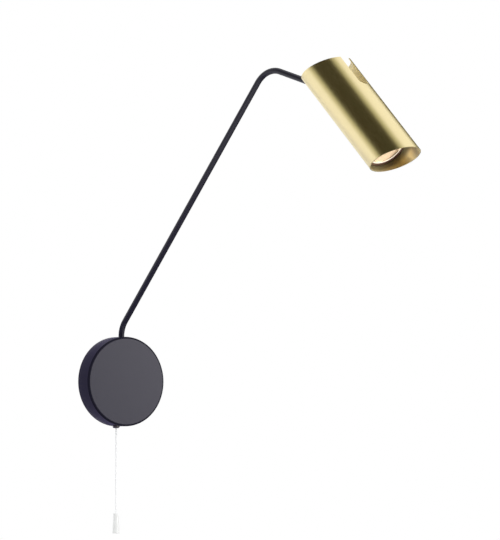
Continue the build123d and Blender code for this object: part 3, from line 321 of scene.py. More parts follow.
def patterned(tree, shader, coordinate, grain, base, tones, roughness, bump=0.0):
    """Drives colour, roughness and relief of a shader from one noise of a real grain size in metres."""
    noise = add_node(
        tree, "ShaderNodeTexNoise", {"Scale": 1 / grain, "Detail": 3.0}, {"Vector": coordinate}
    )
    share = noise.outputs["Fac"]
    dark, light = [rgba(base, tone) for tone in tones]
    tint = add_node(tree, "ShaderNodeMix", {"data_type": "RGBA", 6: dark, 7: light}, {0: share})
    gloss = add_node(
        tree, "ShaderNodeMapRange", {"To Min": roughness[0], "To Max": roughness[1]}, {"Value": share}
    )
    wire(tree, shader, {"Base Color": tint.outputs[2], "Roughness": gloss.outputs["Result"]})
    if bump:
        relief = add_node(tree, "ShaderNodeBump", {"Strength": 0.5, "Distance": bump}, {"Height": share})
        wire(tree, shader, {"Normal": relief.outputs["Normal"]})


def object_coordinate(tree, centre=(0, 0, 0), turn=(0, 0, 0)):
    """Object coordinates, moved and turned to suit a piece."""
    source = add_node(tree, "ShaderNodeTexCoord")
    mapping = add_node(
        tree, "ShaderNodeMapping", {"vector_type": "TEXTURE", "Location": centre, "Rotation": turn},
        {"Vector": source.outputs["Object"]},
    )
    return mapping.outputs["Vector"]


def from_axis(tree, coordinate, across):
    """The distance from an axis through the origin, along the two directions that lie across it."""
    flat = add_node(tree, "ShaderNodeVectorMath", {"operation": "MULTIPLY", 1: across}, {0: coordinate})
    reach = add_node(tree, "ShaderNodeVectorMath", {"operation": "LENGTH"}, {0: flat.outputs["Vector"]})
    return reach.outputs["Value"]


def zone(tree, *limits):
    """A mask that rises from 0 to 1 as each of its values goes from a start to an end."""
    ramps = [
        add_node(tree, "ShaderNodeMapRange", {"From Min": start, "From Max": end}, {"Value": value})
        for value, start, end in limits
    ]
    mask = ramps[0].outputs["Result"]
    for ramp in ramps[1:]:
        both = add_node(
            tree, "ShaderNodeMath", {"operation": "MULTIPLY"}, {0: mask, 1: ramp.outputs["Result"]}
        )
        mask = both.outputs["Value"]
    return mask


def powder_coat(colours):
    """Polyester powder coat, sprayed and baked on steel: satin black with a faint blue, and a fine
    orange peel that softens every reflection. The peel is drawn at twice its real size to show."""
    satin, matt, soft = 0.38, 0.04, 0.4 * MM
    material, tree, shader = new_material(
        "powder_coat_baked", {"IOR": 1.5, "Specular Tint": (0.88, 0.86, 1, 1)}
    )
    coordinate = object_coordinate(tree)
    patterned(
        tree, shader, coordinate, grain=1.6 * MM, base=colours.paint, tones=(0.92, 1.08),
        roughness=(0.26, 0.36), bump=0.01 * MM,
    )
    # painted shade: the cup's rounded front edge loses most of its sheen, so that it reads as a dark ring
    edge = bpy.context.scene.spotlight_sizes.cup_edge
    reach = from_axis(tree, coordinate, (1, 0, 1))
    place = add_node(tree, "ShaderNodeSeparateXYZ", links={0: coordinate})
    painted_shade_edge = zone(
        tree,
        (reach, CUP_RADIUS - edge - soft, CUP_RADIUS - edge),
        (reach, CUP_RADIUS + 2 * soft, CUP_RADIUS + soft),
        (place.outputs["Y"], edge - CUP_DEPTH + soft, edge - CUP_DEPTH),
    )
    shine = add_node(tree, "ShaderNodeMapRange", {"To Min": satin, "To Max": matt}, {"Value": painted_shade_edge})
    wire(tree, shader, {"Specular IOR Level": shine.outputs["Result"]})
    return material


def satin_brass(colours):
    """Drawn brass tube, brushed round and round in the lathe and lacquered: reflections smear along the
    tube and stay crisper round it, with a fine grain, drawn at three times its real size to show."""
    grain_run = 9               # times as long round the tube as along it
    recess_shade, reamed = 0.55, 0.48
    soft, skin_fade = 0.1 * MM, 10 * MM
    recess_shade_start, recess_shade_end = 8 * MM, 3 * MM   # in front of the lamp
    sizes = bpy.context.scene.spotlight_sizes
    matrix = head_frame(sizes)
    material, tree, shader = new_material("brass_lathe_brushed_lacquered", {"Anisotropic": 0.8})
    coordinate = object_coordinate(tree, PIVOT, matrix.to_euler())
    place = add_node(tree, "ShaderNodeSeparateXYZ", links={0: coordinate}).outputs
    about = add_node(tree, "ShaderNodeMath", {"operation": "ARCTAN2"}, {0: place["Y"], 1: place["X"]})
    around = add_node(
        tree, "ShaderNodeMath", {"operation": "MULTIPLY", 1: sizes.tube_radius / grain_run},
        {0: about.outputs["Value"]},
    )
    unrolled = add_node(
        tree, "ShaderNodeCombineXYZ", links={"X": around.outputs["Value"], "Z": place["Z"]}
    )
    patterned(
        tree, shader, unrolled.outputs["Vector"], grain=0.9 * MM, base=colours.brass, tones=(0.95, 1.04),
        roughness=(0.28, 0.36), bump=0.003 * MM,
    )
    # the bore keeps the reamer's marks, and painted shade darkens it along the lamp and just in front of it;
    # behind the lamp it has the dull skin that the drawing left, which scatters light like matt paint
    middle = sizes.tube_radius - sizes.tube_wall / 2
    lamp_back, lamp_front = sizes.lamp_at, sizes.lamp_at + sizes.lamp_length
    bore = (from_axis(tree, coordinate, (1, 1, 0)), middle, middle - soft)
    deep = (place["Z"], lamp_back, lamp_back + skin_fade)
    behind = (place["Z"], lamp_back + skin_fade, lamp_back)
    beside = (place["Z"], lamp_front + recess_shade_start, lamp_front + recess_shade_end)
    # painted shade in the recess by the lamp's rim, fading out from 3 mm to 8 mm in front of the lamp
    tint = add_node(
        tree, "ShaderNodeMix", {"data_type": "RGBA", 7: rgba(colours.brass, recess_shade)},
        {0: zone(tree, bore, deep, beside), 6: shader.inputs["Base Color"].links[0].from_socket},
    )
    rough = add_node(
        tree, "ShaderNodeMix", {3: reamed},
        {0: zone(tree, bore, deep), 2: shader.inputs["Roughness"].links[0].from_socket},
    )
    metal = add_node(
        tree, "ShaderNodeMapRange", {"To Min": 1.0, "To Max": 0.0}, {"Value": zone(tree, bore, behind)}
    )
    along = add_node(
        tree, "ShaderNodeVectorTransform",
        {"vector_type": "VECTOR", "convert_from": "OBJECT", "convert_to": "WORLD",
         "Vector": matrix.col[2].xyz},
    )
    wire(
        tree, shader,
        {"Base Color": tint.outputs[2], "Roughness": rough.outputs[0],
         "Metallic": metal.outputs["Result"], "Tangent": along.outputs["Vector"]},
    )
    return material


def lens_glass(colours):
    """Pressed glass, metallised behind: a dished peach mirror, faintly dimpled by the pressing, inside a
    clear cream edge. The reflector is far deeper than the glass, so the dish is drawn by relief."""
    dimple, edge_fade = 2.4 * MM, 1.0 * MM
    sizes = bpy.context.scene.spotlight_sizes
    material, tree, shader = new_material(
        "glass_pressed_metallised", {"Metallic": 1.0, "Roughness": 0.22}
    )
    coordinate = object_coordinate(tree, PIVOT, head_frame(sizes).to_euler())
    reach = from_axis(tree, coordinate, (1, 1, 0))
    edge = sizes.lens_radius - GLASS_EDGE
    dimples = add_node(
        tree, "ShaderNodeTexVoronoi", {"Scale": 1 / dimple, "feature": "SMOOTH_F1"},
        {"Vector": coordinate},
    )
    warm = add_node(
        tree, "ShaderNodeMix",
        {"data_type": "RGBA", 6: rgba(colours.lens, 0.9), 7: rgba(colours.lens, 1.08)},
        {0: dimples.outputs["Distance"]},
    )
    tint = add_node(
        tree, "ShaderNodeMix", {"data_type": "RGBA", 7: rgba(colours.lens_rim)},
        {0: zone(tree, (reach, edge, edge + edge_fade)), 6: warm.outputs[2]},
    )
    square = add_node(tree, "ShaderNodeMath", {"operation": "POWER", 1: 2.0}, {0: reach})
    dish = add_node(
        tree, "ShaderNodeMath", {"operation": "DIVIDE", 1: 2 * sizes.lens_curve},
        {0: square.outputs["Value"]},
    )
    relief = add_node(
        tree, "ShaderNodeBump", {"Strength": 1.0, "Distance": 1.0}, {"Height": dish.outputs["Value"]}
    )
    wire(tree, shader, {"Base Color": tint.outputs[2], "Normal": relief.outputs["Normal"]})
    return material


def braided_cord(colours):
    """White polyester cord, braided: a small zigzag of threads, drawn coarser than the real one."""
    thread = 1.6 * MM
    bands = 3.2                 # of the wave, in a length of 1 at a scale of 1
    material, tree, shader = new_material(
        "polyester_braided",
        {"Roughness": 0.75, "Subsurface Weight": 0.6, "Subsurface Radius": (MM, MM, MM)},
    )
    weave = add_node(
        tree, "ShaderNodeTexWave",
        {"bands_direction": "DIAGONAL", "Scale": 1 / (bands * thread), "Distortion": 1.5},
        {"Vector": object_coordinate(tree)},
    )
    tint = add_node(
        tree, "ShaderNodeMix", {"data_type": "RGBA", 6: rgba(colours.cord, 0.93), 7: rgba(colours.cord)},
        {0: weave.outputs["Fac"]},
    )
    relief = add_node(
        tree, "ShaderNodeBump", {"Strength": 0.25, "Distance": 0.05 * MM},
        {"Height": weave.outputs["Fac"]},
    )
    wire(tree, shader, {"Base Color": tint.outputs[2], "Normal": relief.outputs["Normal"]})
    return material


def plain_finish(colours, name, base, settings, grain, roughness, bump=0.01, tones=(0.92, 1.08)):
    """A finish of one colour, given as a colour property's name or as an sRGB hex value. Its grain and
    its relief have real sizes in millimetres."""
    material, tree, shader = new_material(name, settings)
    values = getattr(colours, base) if hasattr(colours, base) else linear(base)
    patterned(tree, shader, object_coordinate(tree), grain * MM, values, tones, roughness, bump * MM)
    return material


METAL = {"Metallic": 1.0}
PLASTIC = {"IOR": 1.5}
WAXY = {"IOR": 1.49, "Subsurface Weight": 0.15, "Subsurface Radius": (2 * MM, 2 * MM, 2 * MM)}
FINISHES = {
    "black_powder_coat": powder_coat,
    "brass": satin_brass,
    "lens_glass": lens_glass,
    "white_cord": braided_cord,
}
# what plain_finish is given for each of the other slots
PLAIN_FINISHES = {
    # brown heat proof enamel, sprayed on the lamp's shell: dark, nearly matt, slightly cloudy
    "lamp_shell": ("enamel_sprayed", "lamp_shell", PLASTIC, 2.0, (0.3, 0.45), 0.01, (0.8, 1.15)),
    # white polypropylene, moulded: waxy and a little translucent, with faint flow clouds
    "white_pull": ("polypropylene_moulded", "bob", WAXY, 4.0, (0.3, 0.4), 0.01, (0.95, 1.02)),
    # bright zinc on steel: cool grey, softly spangled
    "zinc_steel": ("steel_zinc_plated", "C3C5C8", METAL, 2.2, (0.24, 0.38)),
    # die cast aluminium: pale grey, coarse skin
    "cast_block": ("aluminium_die_cast", "B4B5B7", METAL, 1.4, (0.42, 0.58), 0.04),
    # turned aluminium: clean and a little brighter than the casting
    "carrier_alloy": ("aluminium_turned", "BFC0C2", METAL, 1.0, (0.25, 0.4)),
    # bare brass, tumbled: duller and browner than the shade
    "contact_brass": ("brass_tumbled", "D9BD78", METAL, 1.5, (0.28, 0.42)),
    # soft black rubber: dusty and matt
    "grommet_rubber": ("rubber_moulded", "242424", PLASTIC, 1.5, (0.7, 0.85), 0.03, (0.85, 1.15)),
    # white nylon: waxy and matt
    "white_nylon": ("nylon_turned", "EAE9E3", PLASTIC, 1.2, (0.42, 0.55), 0.01, (0.96, 1.04)),
    # natural polyamide: ivory, slightly glossy
    "natural_polyamide": ("polyamide_moulded", "E4DECB", PLASTIC, 3.0, (0.32, 0.45), 0.01, (0.96, 1.04)),
    # dark brown phenolic: dense and smooth with a cloudy grain
    "switch_moulding": ("phenolic_moulded", "3B2C26", PLASTIC, 2.0, (0.25, 0.4), 0.01, (0.8, 1.2)),
    # gloss black plating on the outlet
    "outlet_black": ("brass_blackened", "6E6A67", METAL, 1.5, (0.2, 0.32), 0.01, (0.85, 1.15)),
    # PVC insulation, extruded: smooth, faintly glossy
    "brown_insulation": ("pvc_brown_extruded", "6E4428", PLASTIC, 2.0, (0.3, 0.42)),
    "blue_insulation": ("pvc_blue_extruded", "2B62A6", PLASTIC, 2.0, (0.3, 0.42)),
    # glazed porcelain: white and glossy
    "porcelain": ("porcelain_glazed", "EFEDE6", PLASTIC, 5.0, (0.12, 0.2), 0.01, (0.97, 1.03)),
}
MADE = {}


def finish(slot):
    """The material of one of the record's slots, made the first time that it is asked for."""
    colours = bpy.context.scene.spotlight_colours
    if slot not in MADE:
        if slot in FINISHES:
            MADE[slot] = FINISHES[slot](colours)
        else:
            MADE[slot] = plain_finish(colours, *PLAIN_FINISHES[slot])
    return MADE[slot]


class SPOTLIGHT_OT_stage(bpy.types.Operator):
    """Floor, soft studio light, white background and the photograph's camera"""

    bl_idname = "spotlight.stage"
    bl_label = "Stage"

    FLOOR_Z = -0.32
    FLOOR_RADIUS = 3.0
    CAMERA_AT = Vector((-2.26901, -3.61487, -0.05804))
    CAMERA_YAW = radians(34.133)
    CAMERA_PITCH = radians(2.463)
    CAMERA_FOCAL = 3801.55      # in pixels of the photograph
    FRAME_HEIGHT = 540          # pixels
    SENSOR = 36.0               # millimetres on the frame's longer side
    LIT_POINT = Vector((0, -0.2, 0.1))
    CARD_RADIUS = 2.5           # of the cards swung about the shade, and where they end along it
    CARD_SPAN = (-6.0, 3.0)
    CARD_STEPS = 24
    CARD_BLACK = (0.03, 0.025, 0.005, 1)
    CARD_BLUE = (0.22, 0.195, 0.36, 1)
    CARD_SKY = (2.0, 1.96, 1.8, 1)
    CARD_GOLD = (0.51, 0.5, 0.34, 1)
    CARD_WHITE = (4.65, 4.6, 4.3, 1)
    RING_RADII = (0.054, 0.14)  # of the ring behind the cup
    RING_BEHIND = 0.012         # the wall's face
    RING_TOP = 0.065
    RING_RIGHT = 0.03

    def execute(self, context):
        context.scene.view_settings.view_transform = "Standard"
        self.add_camera(context)
        self.add_floor(context.scene.spotlight_colours)
        self.add_world(context)
        self.add_lights(context)
        self.add_cards(context)
        return {"FINISHED"}

    def add_camera(self, context):
        """The camera that was fitted to the photograph's outlines."""
        data = bpy.data.cameras.new("camera")
        data.sensor_width = self.SENSOR
        data.lens = self.CAMERA_FOCAL * self.SENSOR / self.FRAME_HEIGHT
        data.clip_end = 50
        camera = bpy.data.objects.new("camera", data)
        camera.location = self.CAMERA_AT
        camera.rotation_euler = (pi / 2 + self.CAMERA_PITCH, 0, -self.CAMERA_YAW)
        context.scene.collection.objects.link(camera)
        context.scene.camera = camera

    def add_floor(self, colours):
        """A wide plain floor below the lamp. Metal sees it as white as the room, and it throws little
        back. It is clear from below, so that the lamp can be looked at from there."""
        material, tree, shader = new_material(
            "floor_painted", {"IOR": 1.4, "Emission Color": (1, 1, 1, 1)}
        )
        surface = shader.outputs["BSDF"].links[0].to_socket
        patterned(
            tree, shader, object_coordinate(tree), grain=60 * MM, base=colours.floor, tones=(0.97, 1.0),
            roughness=(0.8, 0.9),
        )
        path = add_node(tree, "ShaderNodeLightPath").outputs
        shown = add_node(
            tree, "ShaderNodeMix", {"data_type": "RGBA", 6: (0.6, 0.6, 0.6, 1)},
            {0: path["Is Camera Ray"], 7: shader.inputs["Base Color"].links[0].from_socket},
        )
        glow = add_node(
            tree, "ShaderNodeMath", {"operation": "MULTIPLY", 1: 0.45}, {0: path["Is Glossy Ray"]}
        )
        wire(tree, shader, {"Base Color": shown.outputs[2], "Emission Strength": glow.outputs["Value"]})
        clear = add_node(tree, "ShaderNodeBsdfTransparent")
        under = add_node(tree, "ShaderNodeNewGeometry")
        sheet = add_node(
            tree, "ShaderNodeMixShader",
            links={0: under.outputs["Backfacing"], 1: shader.outputs["BSDF"], 2: clear.outputs["BSDF"]},
        )
        tree.links.new(sheet.outputs["Shader"], surface)
        bm = bmesh.new()
        bmesh.ops.create_circle(bm, cap_ends=True, segments=96, radius=self.FLOOR_RADIUS)
        bmesh.ops.translate(bm, vec=(0, self.LIT_POINT.y, self.FLOOR_Z), verts=bm.verts)
        self.staged("floor", bm, material)

    def add_world(self, context):
        """White where the camera, metal and glass look, and a soft even light for the rest."""
        world = bpy.data.worlds.new("studio")
        context.scene.world = world
        world.use_nodes = True
        tree = world.node_tree
        tree.nodes.clear()
        path = add_node(tree, "ShaderNodeLightPath").outputs
        looks = path["Is Camera Ray"]
        for ray in ("Is Glossy Ray", "Is Transmission Ray"):
            either = add_node(
                tree, "ShaderNodeMath", {"operation": "MAXIMUM"}, {0: looks, 1: path[ray]}
            )
            looks = either.outputs["Value"]
        white = add_node(tree, "ShaderNodeBackground", {"Color": (1, 1, 1, 1), "Strength": 1.0})
        soft = add_node(tree, "ShaderNodeBackground", {"Color": (0.94, 0.96, 1, 1), "Strength": 0.65})
        both = add_node(
            tree, "ShaderNodeMixShader",
            links={0: looks, 1: soft.outputs["Background"], 2: white.outputs["Background"]},
        )
        add_node(tree, "ShaderNodeOutputWorld", links={"Surface": both.outputs["Shader"]})

    def add_lights(self, context):
        """A wide soft key from the front right, a weaker one from above and a fill from the left."""
        for name, place, size, power in (
            ("key_softbox", Vector((1.5, -2.7, 1.0)), 2.4, 60),
            ("top_softbox", Vector((0.2, -0.4, 2.9)), 2.4, 40),
            ("fill_softbox", Vector((-1.9, 0.3, 0.5)), 1.4, 11),
        ):
            data = bpy.data.lights.new(name, "AREA")
            data.shape = "SQUARE"
            data.size = size
            data.energy = power
            light = bpy.data.objects.new(name, data)
            light.location = place
            light.rotation_euler = (self.LIT_POINT - place).to_track_quat("-Z", "Y").to_euler()
            light.visible_glossy = False
            context.scene.collection.objects.link(light)

    def add_cards(self, context):
        """Studio cards that only glossy faces see. Two, swung about the shade, give the brass its dark
        stripe and its dark right edge. Bright ones shine off the cup's face and into the shade's mouth,
        blue ones tint the paint, and black ones deepen the mouth and the far sides."""
        head = head_frame(context.scene.spotlight_sizes)
        view = Vector((sin(self.CAMERA_YAW), cos(self.CAMERA_YAW), tan(self.CAMERA_PITCH)))
        facing = head.to_3x3().transposed() @ -view
        front = atan2(facing.y, facing.x)
        for name, start, end, fade in (("stripe_card", -77, 70, 36), ("edge_card", 122, 178, 14)):
            first, last = front - radians(end), front - radians(start)
            bm = bmesh.new()
            ends = [bm.verts.new((self.CARD_RADIUS, 0, height)) for height in self.CARD_SPAN]
            edge = bm.edges.new(ends)
            bmesh.ops.rotate(bm, cent=(0, 0, 0), matrix=Matrix.Rotation(first, 3, "Z"), verts=ends)
            bmesh.ops.spin(
                bm, geom=[*ends, edge], cent=(0, 0, 0), axis=(0, 0, 1), angle=last - first,
                steps=self.CARD_STEPS,
            )
            bmesh.ops.transform(bm, matrix=head, verts=bm.verts)
            fading = (first, first + radians(fade), last - radians(fade), last)
            self.add_card(name, bm, self.CARD_BLACK, head, fading)

        level = self.FLOOR_Z + 2 * MM
        flat, sideways, slanting = (0, 0, 0), (pi / 2, 0, pi / 2), (pi / 2, 0, radians(40))
        for name, middle, size, turn, shade in (
            ("face_card", (0.795, -0.948, 0.174), (0.5, 0.55), slanting, self.CARD_WHITE),
            ("side_flag", (-0.18, -0.12, -0.05), (0.26, 0.2), sideways, self.CARD_BLUE),
            ("far_flag", (0.3, 0.17, -0.05), (0.64, 0.3), sideways, self.CARD_BLACK),
            ("front_flag", (-0.9, -1.95, level), (2.1, 2.5), flat, self.CARD_BLACK),
            ("left_flag", (-1.2, -0.14, level), (1.7, 0.32), flat, self.CARD_BLUE),
            ("sky_card", (-0.85, -0.5, level), (1.1, 0.4), flat, self.CARD_SKY),
            ("cup_flag", (0, -0.175, level), (0.7, 0.41), flat, self.CARD_BLUE),
            ("right_flag", (1.5, 0.6, level), (2.2, 2.0), flat, self.CARD_BLACK),
        ):
            bm = bmesh.new()
            bmesh.ops.create_grid(
                bm, x_segments=1, y_segments=1, size=0.5,
                matrix=Matrix.LocRotScale(Vector(middle), Euler(turn), (*size, 1)),
            )
            self.add_card(name, bm, shade)

        # a part ring behind the cup, which leaves its open back clear
        bm = lathe([(radius, -self.RING_BEHIND) for radius in self.RING_RADII], 64)
        bmesh.ops.transform(bm, matrix=WALL_FRAME, verts=bm.verts)
        for normal, limit in ((UP, self.RING_TOP), (Vector((1, 0, 0)), self.RING_RIGHT)):
            bmesh.ops.bisect_plane(
                bm, geom=[*bm.verts, *bm.edges, *bm.faces], plane_co=normal * limit, plane_no=normal,
                clear_outer=True,
            )
        self.add_card("ring_flag", bm, self.CARD_BLUE)

    def add_card(self, name, bm, shade, matrix=None, fading=()):
        """A card of one shade, hidden from every ray but those off glossy faces. Its edges may fade to
        the white of the room by the angle about a frame's axis."""
        material, tree, glow = new_material(
            "card", {"Color": shade, "Strength": 1.0}, "ShaderNodeEmission"
        )
        if fading:
            coordinate = object_coordinate(tree, matrix.to_translation(), matrix.to_euler())
            about = add_node(
                tree, "ShaderNodeTexGradient", {"gradient_type": "RADIAL"}, {"Vector": coordinate}
            )
            ramp = add_node(tree, "ShaderNodeValToRGB", links={0: about.outputs["Fac"]})
            ramp.color_ramp.interpolation = "EASE"
            stops = ramp.color_ramp.elements
            first, dark, light, last = fading
            turns = (first, (first + dark) / 2, dark, light, (light + last) / 2, last)
            shades = ((1, 1, 1, 1), self.CARD_GOLD, shade)
            for turn in turns[1:-1]:
                stops.new(turn / tau + 0.5)
            for stop, turn, tone in zip(stops, turns, (*shades, *reversed(shades))):
                stop.position = turn / tau + 0.5
                stop.color = tone
            wire(tree, glow, {"Color": ramp.outputs["Color"]})
        card = self.staged(name, bm, material)
        for ray in ("camera", "diffuse", "transmission", "volume_scatter", "shadow"):
            setattr(card, f"visible_{ray}", False)

    def staged(self, name, bm, material):
        """Adds a sheet of the stage."""
        sheet = added(name, bm)
        sheet.data.materials.append(material)
        return sheet


class SPOTLIGHT_OT_carried(bpy.types.Operator):
    """Finishes of the pieces that keep their modelled shape"""

    bl_idname = "spotlight.carried"
    bl_label = "Carried pieces"

    def execute(self, context):
        for part in frame["record"]["subparts"]:
            thing = frame["nodes"][part["node"]]
            thing.data.materials.clear()
            thing.data.materials.append(finish(part["material_slot"]))
        return {"FINISHED"}


class SPOTLIGHT_OT_fittings(bpy.types.Operator):
    """Fittings in the cup and the shade: their modelled shapes with the edges broken"""

    bl_idname = "spotlight.fittings"
    bl_label = "Fittings"

    # node, its piece, the width of its broken edges and the shortest edge that is broken, in millimetres
    EDGES = (
        ("wall_bracket", "bracket_strap", 0.4, 1.2),
        ("bracket_lugs", "strap_lugs", 0.3, 0),
        ("hook_tab", "cup_hook", 0.3, 0),
        ("terminal_block", "connector_block", 0.4, 1.2),
        ("switch_case", "switch_box", 0.5, 1.2),
        ("switch_cover", "switch_lid", 0.5, 0),
        ("stud_nuts", "block_nuts", 0.3, 0),
        ("stem_nut", "stem_locknut", 0.3, 0),
        ("arm_knuckle", "tilt_knuckle", 0.4, 1.2),
        ("head_yoke", "tilt_yoke", 0.4, 1.2),
        ("head_carrier", "lamp_carrier", 0.4, 1.2),
        ("lampholder", "lamp_socket", 0.4, 1.2),
    )
    FLAT = 0.5                  # degrees, below which two faces are one
    PANEL_BORDER = 1.8 * MM
    PANEL_DEPTH = 0.5 * MM
    NIPPLE_CUT = 0.9 * MM       # the nipple ends this far inside the outlet
    EYELET_HOLE = 0.8 * MM
    EYELET_RADIUS = 1.7 * MM
    EYELET_HEIGHT = 0.45 * MM
    EYELET_ROUND = 0.2 * MM
    EYELET_INSET = 5 * MM       # from the switch's edges

    def execute(self, context):
        record = frame["record"]
        bodies = {node: body for body, nodes in record["behaviour"]["bodies"].items() for node in nodes}
        slots = {part["node"]: part["material_slot"] for part in record["subparts"]}
        for node, name, width, shortest in self.EDGES:
            bm = bmesh.new()
            bm.from_mesh(frame["nodes"][node].data)
            merge(bm, outwards=False)
            bmesh.ops.dissolve_limit(
                bm, angle_limit=radians(self.FLAT), verts=bm.verts, edges=bm.edges
            )
            if node == "switch_case":
                self.add_panel(bm)
            round_edges(bm, width * MM, 2, sharper_than=SHARP_CUT, longer_than=shortest * MM)
            merge(bm, outwards=False)
            piece(name, bm, slots[node], bodies[node], [node])
        self.add_eyelets()
        return {"FINISHED"}

    def add_panel(self, bm):
        """Sinks a panel into the back of the switch, and shortens its nipple to go inside the outlet."""
        back = max((f for f in bm.faces if f.normal.y > 0.99), key=lambda f: f.calc_area())
        bmesh.ops.inset_region(bm, faces=[back], thickness=self.PANEL_BORDER, depth=-self.PANEL_DEPTH)
        end = [v for v in bm.verts if v.co.z < OUTLET_LOW.z + TOUCH]
        bmesh.ops.translate(bm, vec=(0, 0, self.NIPPLE_CUT), verts=end)

    def add_eyelets(self):
        """Two brass eyelets, in opposite corners of the switch's back."""
        low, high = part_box("switch_cover")
        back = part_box("switch_case")[1].y - self.PANEL_DEPTH
        hole, radius, height = self.EYELET_HOLE, self.EYELET_RADIUS, self.EYELET_HEIGHT
        inset = Vector((self.EYELET_INSET, 0, self.EYELET_INSET))
        bm = lathe([(hole, 0), (radius, 0), (radius, height), (hole, height)], 32, closed=True)
        round_edges(bm, self.EYELET_ROUND)
        first, last = low + inset, high - inset
        place = placed((first.x, back, first.z), (1, 0, 0), (0, 1, 0))
        bmesh.ops.transform(bm, matrix=place, verts=bm.verts)
        copy = bmesh.ops.duplicate(bm, geom=[*bm.verts, *bm.edges, *bm.faces])["geom"]
        step = (last.x - first.x, 0, last.z - first.z)
        bmesh.ops.translate(bm, vec=step, verts=only_verts(copy))
        piece("switch_eyelets", bm, "contact_brass", "base")


class SPOTLIGHT_OT_cup(bpy.types.Operator):
    """Pressed wall cup with its stem, outlet and grub screw holes"""

    bl_idname = "spotlight.cup"
    bl_label = "Wall cup"

    STEPS = 192
    INNER_ROUND = 0.6 * MM
    BACK_ROUND = 0.3 * MM

    def execute(self, context):
        sizes = context.scene.spotlight_sizes
        radius, depth, wall = CUP_RADIUS, CUP_DEPTH, sizes.cup_wall
        bm = lathe(
            [(0, depth), (radius, depth), (radius, 0), (radius - wall, 0), (radius - wall, depth - wall),
             (0, depth - wall)],
            self.STEPS,
        )
        round_edges(bm, sizes.cup_edge, 8, where=lambda co: co.z > depth - wall / 2)
        round_edges(bm, self.INNER_ROUND, 3, where=lambda co: co.z > depth / 2)
        round_edges(bm, self.BACK_ROUND, 2, where=lambda co: co.z < depth / 2)
        bmesh.ops.transform(bm, matrix=WALL_FRAME, verts=bm.verts)
        along_x = placed((0, -sizes.grub_out, 0), (0, 1, 0), (1, 0, 0))
        down = placed((CORD_AXIS.x, CORD_AXIS.y, 0), (1, 0, 0), (0, 0, -1))
        holes = (
            (sizes.rod_radius + sizes.stem_gap, Matrix.Translation((0, STEM.y, 0))),
            (sizes.nipple_radius + sizes.outlet_gap, down),
            (sizes.grub_radius + sizes.outlet_gap, along_x),
        )
        bm = carved(bm, [drill(hole, 2 * radius, matrix) for hole, matrix in holes])
        piece("cup_shell", bm, "black_powder_coat", "base", ["wall_cup"])
        return {"FINISHED"}


class SPOTLIGHT_OT_arm(bpy.types.Operator):
    """Bent arm tube"""

    bl_idname = "spotlight.arm"
    bl_label = "Arm"

    SEGMENTS = 48
    BEND_STEPS = 28

    def execute(self, context):
        sizes = context.scene.spotlight_sizes
        lean, droop = sizes.arm_lean, sizes.top_droop
        turn = pi / 2 - lean + droop
        lower_tangent = sizes.stem_bend * tan(lean / 2)
        upper_tangent = sizes.top_bend * tan(turn / 2)
        corner_z = CUP_HIGH.z + sizes.stem_straight + lower_tangent
        reach = (PIVOT - STEM).dot(OUT)
        rise = PIVOT.z - corner_z
        # the long run and the top run meet at the upper corner, and together reach the tilt pivot
        scale = sin(lean) * sin(droop) + cos(lean) * cos(droop)
        long_run = (reach * sin(droop) + rise * cos(droop)) / scale
        top_run = (reach * cos(lean) - rise * sin(lean)) / scale
        along = OUT * sin(lean) + UP * cos(lean)
        forward = OUT * cos(droop) - UP * sin(droop)

        bm = bmesh.new()
        start = Vector((STEM.x, STEM.y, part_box("arm_tube")[0].z))
        ring = bmesh.ops.create_circle(
            bm, segments=self.SEGMENTS, radius=sizes.rod_radius, matrix=Matrix.Translation(start)
        )["verts"]
        ring = self.run(bm, ring, UP * (corner_z - lower_tangent - start.z))
        low_centre = Vector((STEM.x, STEM.y, corner_z - lower_tangent)) + OUT * sizes.stem_bend
        ring = self.bend(bm, ring, low_centre, lean)
        ring = self.run(bm, ring, along * (long_run - lower_tangent - upper_tangent))
        upper_corner = Vector((STEM.x, STEM.y, corner_z)) + along * long_run
        inward = OUT * cos(lean) - UP * sin(lean)
        ring = self.bend(bm, ring, upper_corner - along * upper_tangent + inward * sizes.top_bend, turn)
        self.run(bm, ring, forward * (top_run - upper_tangent - sizes.rod_stop))
        merge(bm)
        bmesh.ops.solidify(bm, geom=bm.faces, thickness=sizes.rod_wall)
        piece("arm_rod", bm, "black_powder_coat", "arm", ["arm_tube"])
        return {"FINISHED"}

    def run(self, bm, ring, vector):
        """Draws the tube's open end straight on, and returns its new end."""
        ring = only_verts(bmesh.ops.extrude_edge_only(bm, edges=ring_edges(ring))["geom"])
        bmesh.ops.translate(bm, vec=vector, verts=ring)
        return ring

    def bend(self, bm, ring, centre, turn):
        """Draws the tube's open end round a bend in the arm's plane, and returns its new end."""
        spun = bmesh.ops.spin(
            bm, geom=[*ring, *ring_edges(ring)], cent=centre, axis=SIDE, angle=turn, steps=self.BEND_STEPS
        )
        return only_verts(spun["geom_last"])


